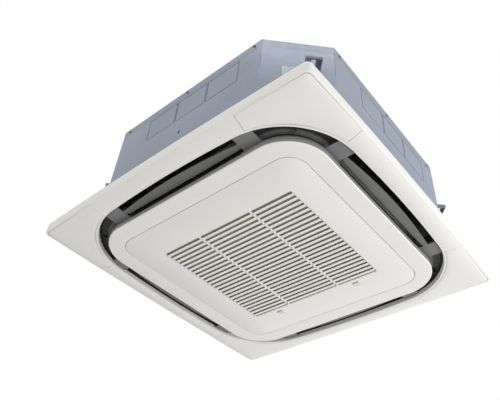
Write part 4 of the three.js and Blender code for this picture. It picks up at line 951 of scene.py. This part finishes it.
def casing():
    outer, inner, lip = octagon(CASING_HALF, CASING_LEG), inset_octagon(1.2), inset_octagon(21)
    corners = [math.radians(90 * q + a) for q in range(4) for a in (CASING_CORNER, 90 - CASING_CORNER)]
    low, top = CASING_LOW_Z, CASING_TOP_Z - 2.0
    shell = swept("casing_walls", [
        (outer, low), (outer, top), (inner, top), (inner, low + 1.2), (lip, low + 1.2), (lip, low)], corners)
    ease(shell, 0.5, 2)
    upright = Matrix.Rotation(math.pi / 2, 4, "X")
    cells = []
    for q in range(4):
        for cell in range(3):
            score = panel_side_frame(*CELL, 2.0, 1.8)
            middle = Vector((-92 + CELL_PITCH * cell, -CASING_HALF + 0.8, CELL_Z)) * MM
            score.data.transform(quarter_turn(q) @ Matrix.Translation(middle) @ upright)
            cells.append(score)
    carve(shell, joined("scored_lines", cells))
    face = -CASING_HALF
    carve(shell, block("wire_hole", -4.7, 3.3, face - 1, face + 2.2, 133, 144))
    plug = ease(block("wire_hole_plug", -4.9, 3.5, face + 0.3, face + 2.6, 132.8, 144.2), 0.3, 1)
    finish(plug, "unit", [], RUBBER.material)
    return finish(shell, "unit", ["casing_shell"], CASING.material)


def sheet_screws():
    """Pan-head screws with a cross recess, along the top and bottom edges of the casing's sides."""
    head = turned("screw_head", [(0, 0), (4.2, 0), (4.2, 0.8), (3.6, 1.7), (2.2, 2.3), (0, 2.5)], 20)
    for turn in (0, 90):
        slot = block("slot", -2.4, 2.4, -0.45, 0.45, 1.4, 3.5)
        slot.data.transform(Matrix.Rotation(math.radians(turn), 4, "Z"))
        carve(head, slot)
    outward = Matrix.Rotation(math.pi / 2, 4, "X")
    parts = []
    for q in range(4):
        for x, z in ((-255, 315), (0, 315), (255, 315), (-255, 40), (255, 40)):
            place = Matrix.Translation(Vector((x, -CASING_HALF, z)) * MM)
            parts.append(twin(head, "screw_copy", quarter_turn(q) @ place @ outward))
    bpy.data.objects.remove(head)
    finish(joined("casing_screws", parts), "unit", [], MOTOR_STEEL.material)


def top_plate():
    outer = octagon(CASING_HALF, CASING_LEG)
    z0, z1 = CASING_TOP_Z - 1.7, CASING_TOP_Z
    low = CASING_TOP_Z - 23
    dish = [(circle(126), z1), (circle(124), z1 - 0.5), (circle(122), z1 - 2.5), (circle(116), low + 5),
            (circle(114), low + 2.6), (circle(111), low + 1.7), (circle(0), low + 1.7)]
    under = [(circle(0), low), (circle(112.5), low), (circle(116), low + 1.5), (circle(118), low + 4.5),
             (circle(124.5), z0)]
    rays = sorted(a + math.radians(step) for step in (0, 1.5, 3) for a in OCTAGON_RAYS)
    plate = swept("top_sheet", [*under, (outer, z0), (outer, z1), *dish], rays, closed=False)
    return finish(plate, "unit", ["top_plate"], GALVANISED.material)


# ---------------------------------------------------------------- air path


def bell_mouth():
    throat, mouth, rim, base, height, top = 165, 225, 245, 27.7, 44, 92
    steps = [math.radians(90 * i / 10) for i in range(11)]
    inner = [(mouth - (mouth - throat) * math.sin(a), base - WALL + height * (1 - math.cos(a)))
             for a in steps]
    outer = [(x + WALL * math.sin(a) + 0.01, z + WALL * math.cos(a)) for (x, z), a in zip(inner, steps)]
    profile = [*inner, (throat, top - 0.4), (throat + 0.4, top), (throat + WALL, top), *reversed(outer),
               (rim, base), (rim, base - WALL)]
    curve = turned("bell_mouth_curve", profile, 120)
    finish(curve, "unit", ["bell_mouth"], BLACK.material)


def fan():
    hub = turned("hub", [
        (8.3, 140), (20, 140), (20, 156.5), (24, 158.3), (83, 169), (91, 172), (95, 178), (95, 236),
        (238, 236), (238, 239), (92, 239), (92, 179), (89, 175), (82, 172), (20, 161), (8.3, 161)], 96)
    shroud = turned("shroud", [
        (171, 84), (174, 84), (175, 92), (178, 100), (184, 107), (192.5, 112.7), (214, 120), (238, 125),
        (238, 128), (214, 123.3), (191.5, 115.7), (181, 109.5), (174.5, 103), (172, 94)], 96)
    blades, tip, root, sweep, thickness = 7, 236.0, 152.0, math.radians(38), 3.5
    sides = []
    for offset in (0.0, thickness):
        line = []
        for i in range(11):
            share = i / 10
            r = root + (tip - root) * share
            a = sweep * share**1.4 + offset / r
            line.append((r * math.cos(a), r * math.sin(a)))
        sides.append(line)
    blade = ease(slab("blade", sides[0] + sides[1][::-1], 124, 237), 0.8, 2, 50)
    parts = [hub, shroud]
    for i in range(blades):
        parts.append(twin(blade, "blade_copy", Matrix.Rotation(2 * math.pi * i / blades, 4, "Z")))
    bpy.data.objects.remove(blade)
    finish(joined("turbo_fan_moulding", parts), "fan", ["turbo_fan"], BLACK.material)


def drain_pan():
    outer = rounded(343, 112)
    hole, trough_in = circle(236), circle(246)
    trough = grow(outer, -10)
    pan = swept("drain_pan_foam", [
        (hole, 30), (circle(238), 28), (grow(outer, -2), 28), (outer, 30), (outer, 72), (trough, 72),
        (trough, 44), (grow(trough, -2), 42), (circle(248), 42), (trough_in, 44), (trough_in, 72),
        (hole, 72)])
    finish(pan, "unit", ["drain_pan"], WHITE_FOAM.material)


# ---------------------------------------------------------------- pipes


def bent_pipe(name, node, points, radius, material):
    curve = bpy.data.curves.new(name, "CURVE")
    curve.dimensions = "3D"
    curve.bevel_depth = radius * MM
    curve.bevel_resolution = 6
    curve.use_fill_caps = True
    line = curve.splines.new("POLY")
    line.points.add(len(points) - 1)
    for point, place in zip(line.points, points):
        point.co = (*(Vector(place) * MM), 1)
    piece = bpy.data.objects.new(name, curve)
    bpy.context.scene.collection.objects.link(piece)
    only(piece)
    bpy.ops.object.convert(target="MESH")
    finish(piece, "unit", [node], material)


def refrigerant_pipes():
    """The gas pipe, and the liquid pipe mirrored about the diagonal, both out of the pipe corner."""
    exit_x, exit_y, lane, stub = -365.0, 335.0, 309.0, 44 / math.sqrt(2)
    turn_y = exit_y + exit_x + lane
    for kind, radius, z in (("gas", 7.95, 262.0), ("liquid", 4.75, 240.0)):
        bend = 3 * radius
        start, corner = Vector((-lane, turn_y - bend)), Vector((-lane, turn_y))
        end = corner + Vector((-bend, bend)) / math.sqrt(2)
        path = [(-lane, 190.3, z), (start.x, start.y, z)]
        for i in range(1, 13):
            t = i / 12
            p = (1 - t) ** 2 * start + 2 * t * (1 - t) * corner + t**2 * end
            path.append((p.x, p.y, z))
        path.append((exit_x - stub, exit_y + stub, z))
        if kind == "liquid":
            path = [(-y, -x, z) for x, y, _ in path]
        bent_pipe(f"{kind}_pipe_tube", f"{kind}_pipe", path, radius, COPPER.material)


def drain_socket():
    body = turned("socket", [
        (13, -62), (15.2, -62), (16, -61), (16, -30), (16.3, -29), (16, -28), (16, 0), (13, 0)], 48)
    collar = turned("collar", [
        (15.9, -32.2), (21, -32.2), (22, -31.4), (22, -29), (21, -28.2), (15.9, -28.2)], 48)
    piece = joined("drain_socket_turned", [body, collar])
    piece.data.transform(Matrix.Translation(Vector((-392.1, 250, 196)) * MM) @ ALONG_X)
    finish(piece, "unit", ["drain_socket"], FLAP_GREY.material)


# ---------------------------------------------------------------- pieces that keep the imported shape

CARRIED = [
    ("corner_duct", BLOCK_GREY, "block_grey", 0.6),
    ("flap_motor", BLACK, "black_plastic", 0.6),
    ("hanger_bracket", BRACKET, "galvanised", 0.7),
    ("grille_latch", WHITE, "panel_white", 0.5),
    ("panel_screw", STEEL, "screw_steel", 0.3),
    ("hinge_pin", STEEL, "screw_steel", 0.3),
    ("motor_shaft", STEEL, "screw_steel", 0.5),
    ("fan_nut", STEEL, "screw_steel", 0.6),
    ("fan_motor", MOTOR_STEEL, "motor_steel", 1.0),
    ("motor_bush", RUBBER, "rubber_black", 0.5),
    ("panel_seal", DARK_FOAM, "dark_foam", 0.6),
    ("air_filter", NET_GREY, "filter_grey", 0.0),
    ("insulation_liner", WHITE_FOAM, "white_foam", 0.8),
    ("heat_exchanger", COIL, "coil_aluminium", 0.6),
    ("drain_pump", BLACK, "black_plastic", 0.8),
    ("drain_hose", RUBBER, "rubber_black", 0.0),
    ("drain_plug", RUBBER, "rubber_black", 0.6),
    ("float_switch", BLACK, "black_plastic", 0.4),
    ("float", PALE_PART, "panel_white", 0.6),
    ("control_box", GALVANISED, "galvanised", 0.5),
    ("wiring_grommet", RUBBER, "rubber_black", 0.6),
    ("flare_nut", BRASS, "brass_nut", 0.6),
    ("pipe_cover", GALVANISED, "galvanised", 0.5),
]


def carried_pieces():
    """Every node not remodelled above keeps its solid's shape, with its edges eased."""
    owner = {node: body for body, nodes in frame["record"]["behaviour"]["bodies"].items() for node in nodes}
    replaced = {n for o in bpy.data.objects for n in o.get("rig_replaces", [])}
    for node in sorted(frame["nodes"]):
        if node in replaced:
            continue
        finish_of = [entry for entry in CARRIED if entry[0] in node]
        _, material, slot, edge = max(finish_of, key=lambda entry: len(entry[0]))
        piece = merged_copy(node, node + "_shape")
        if edge:
            ease(piece, edge, 2, 40)
        finish(piece, owner[node], [node], material.material)


panel_frame()
corner_covers()
ring()
throat_linings()
flaps()
grille()
casing()
sheet_screws()
top_plate()
bell_mouth()
fan()
drain_pan()
refrigerant_pipes()
drain_socket()
carried_pieces()

# ---------------------------------------------------------------- stage, light and camera


def floor():
    """A pale floor well below the unit, as in a room of usual height."""
    bpy.ops.object.select_all(action="DESELECT")
    bpy.ops.mesh.primitive_plane_add(size=30)
    piece = bpy.context.active_object
    piece.name = "floor"
    piece.data.transform(Matrix.Translation((0, 0, -2.6)))
    f = Finish("floor_paint", 0.9)
    f.shader.inputs["Base Color"].default_value = (0.86, 0.86, 0.86, 1)
    f.shader.inputs["Specular IOR Level"].default_value = 0.1
    piece.data.materials.append(f.material)


def soft_light(name, place, size, power):
    lamp = bpy.data.lights.new(name, "AREA")
    lamp.size = size
    lamp.energy = power
    holder = bpy.data.objects.new(name, lamp)
    bpy.context.scene.collection.objects.link(holder)
    holder.location = place
    holder.rotation_mode = "QUATERNION"
    holder.rotation_quaternion = (-Vector(place)).to_track_quat("-Z", "Y")


AMBIENT = 0.46


def world():
    """White to look at, and dimmer where it lights the unit."""
    sky = bpy.data.worlds.new("studio")
    bpy.context.scene.world = sky
    sky.use_nodes = True
    tree = sky.node_tree
    background = tree.nodes["Background"]
    background.inputs["Color"].default_value = (1, 1, 1, 1)
    path = tree.nodes.new("ShaderNodeLightPath")
    seen = maths(tree, "MAXIMUM", path.outputs["Is Camera Ray"], path.outputs["Is Glossy Ray"])
    seen = maths(tree, "MAXIMUM", seen, path.outputs["Is Transmission Ray"])
    strength = maths(tree, "ADD", AMBIENT, maths(tree, "MULTIPLY", seen, 1 - AMBIENT))
    tree.links.new(strength, background.inputs["Strength"])


CAMERA_TURN = Vector((0.7950, 0.3362, -0.6178))
CAMERA_OFFSET = Vector((31.90, 138.23, 1684.74)) * MM


def camera():
    """The photograph's view: from below, towards the corner at +X -Y.

    It was fitted to the panel's corners, with its zero height at the lower edge of the rim.
    """
    data = bpy.data.cameras.new("view_from_below")
    data.sensor_width = 36.0
    data.lens = 41.17
    data.shift_x = -0.0214
    data.shift_y = 0.0208
    data.clip_end = 100.0
    holder = bpy.data.objects.new("view_from_below", data)
    bpy.context.scene.collection.objects.link(holder)
    seen = Matrix.Rotation(CAMERA_TURN.length, 3, CAMERA_TURN.normalized())
    right, down, ahead = seen[0], seen[1], seen[2]
    axes = Matrix((right, -down, -ahead)).transposed().to_4x4()
    place = -(seen.transposed() @ CAMERA_OFFSET) + Vector((0, 0, RIM_Z)) * MM
    holder.matrix_world = Matrix.Translation(place) @ axes
    bpy.context.scene.camera = holder


floor()
world()
soft_light("key_from_right", (2.6, 1.5, -1.0), 2.2, 78)
soft_light("fill_from_front", (0.6, -3.0, -0.6), 2.6, 32)
soft_light("fill_from_back", (-1.6, 2.6, -1.4), 2.4, 14)
soft_light("overhead", (0.4, -0.4, 3.2), 2.4, 40)
camera()
bpy.context.scene.view_settings.view_transform = "Standard"
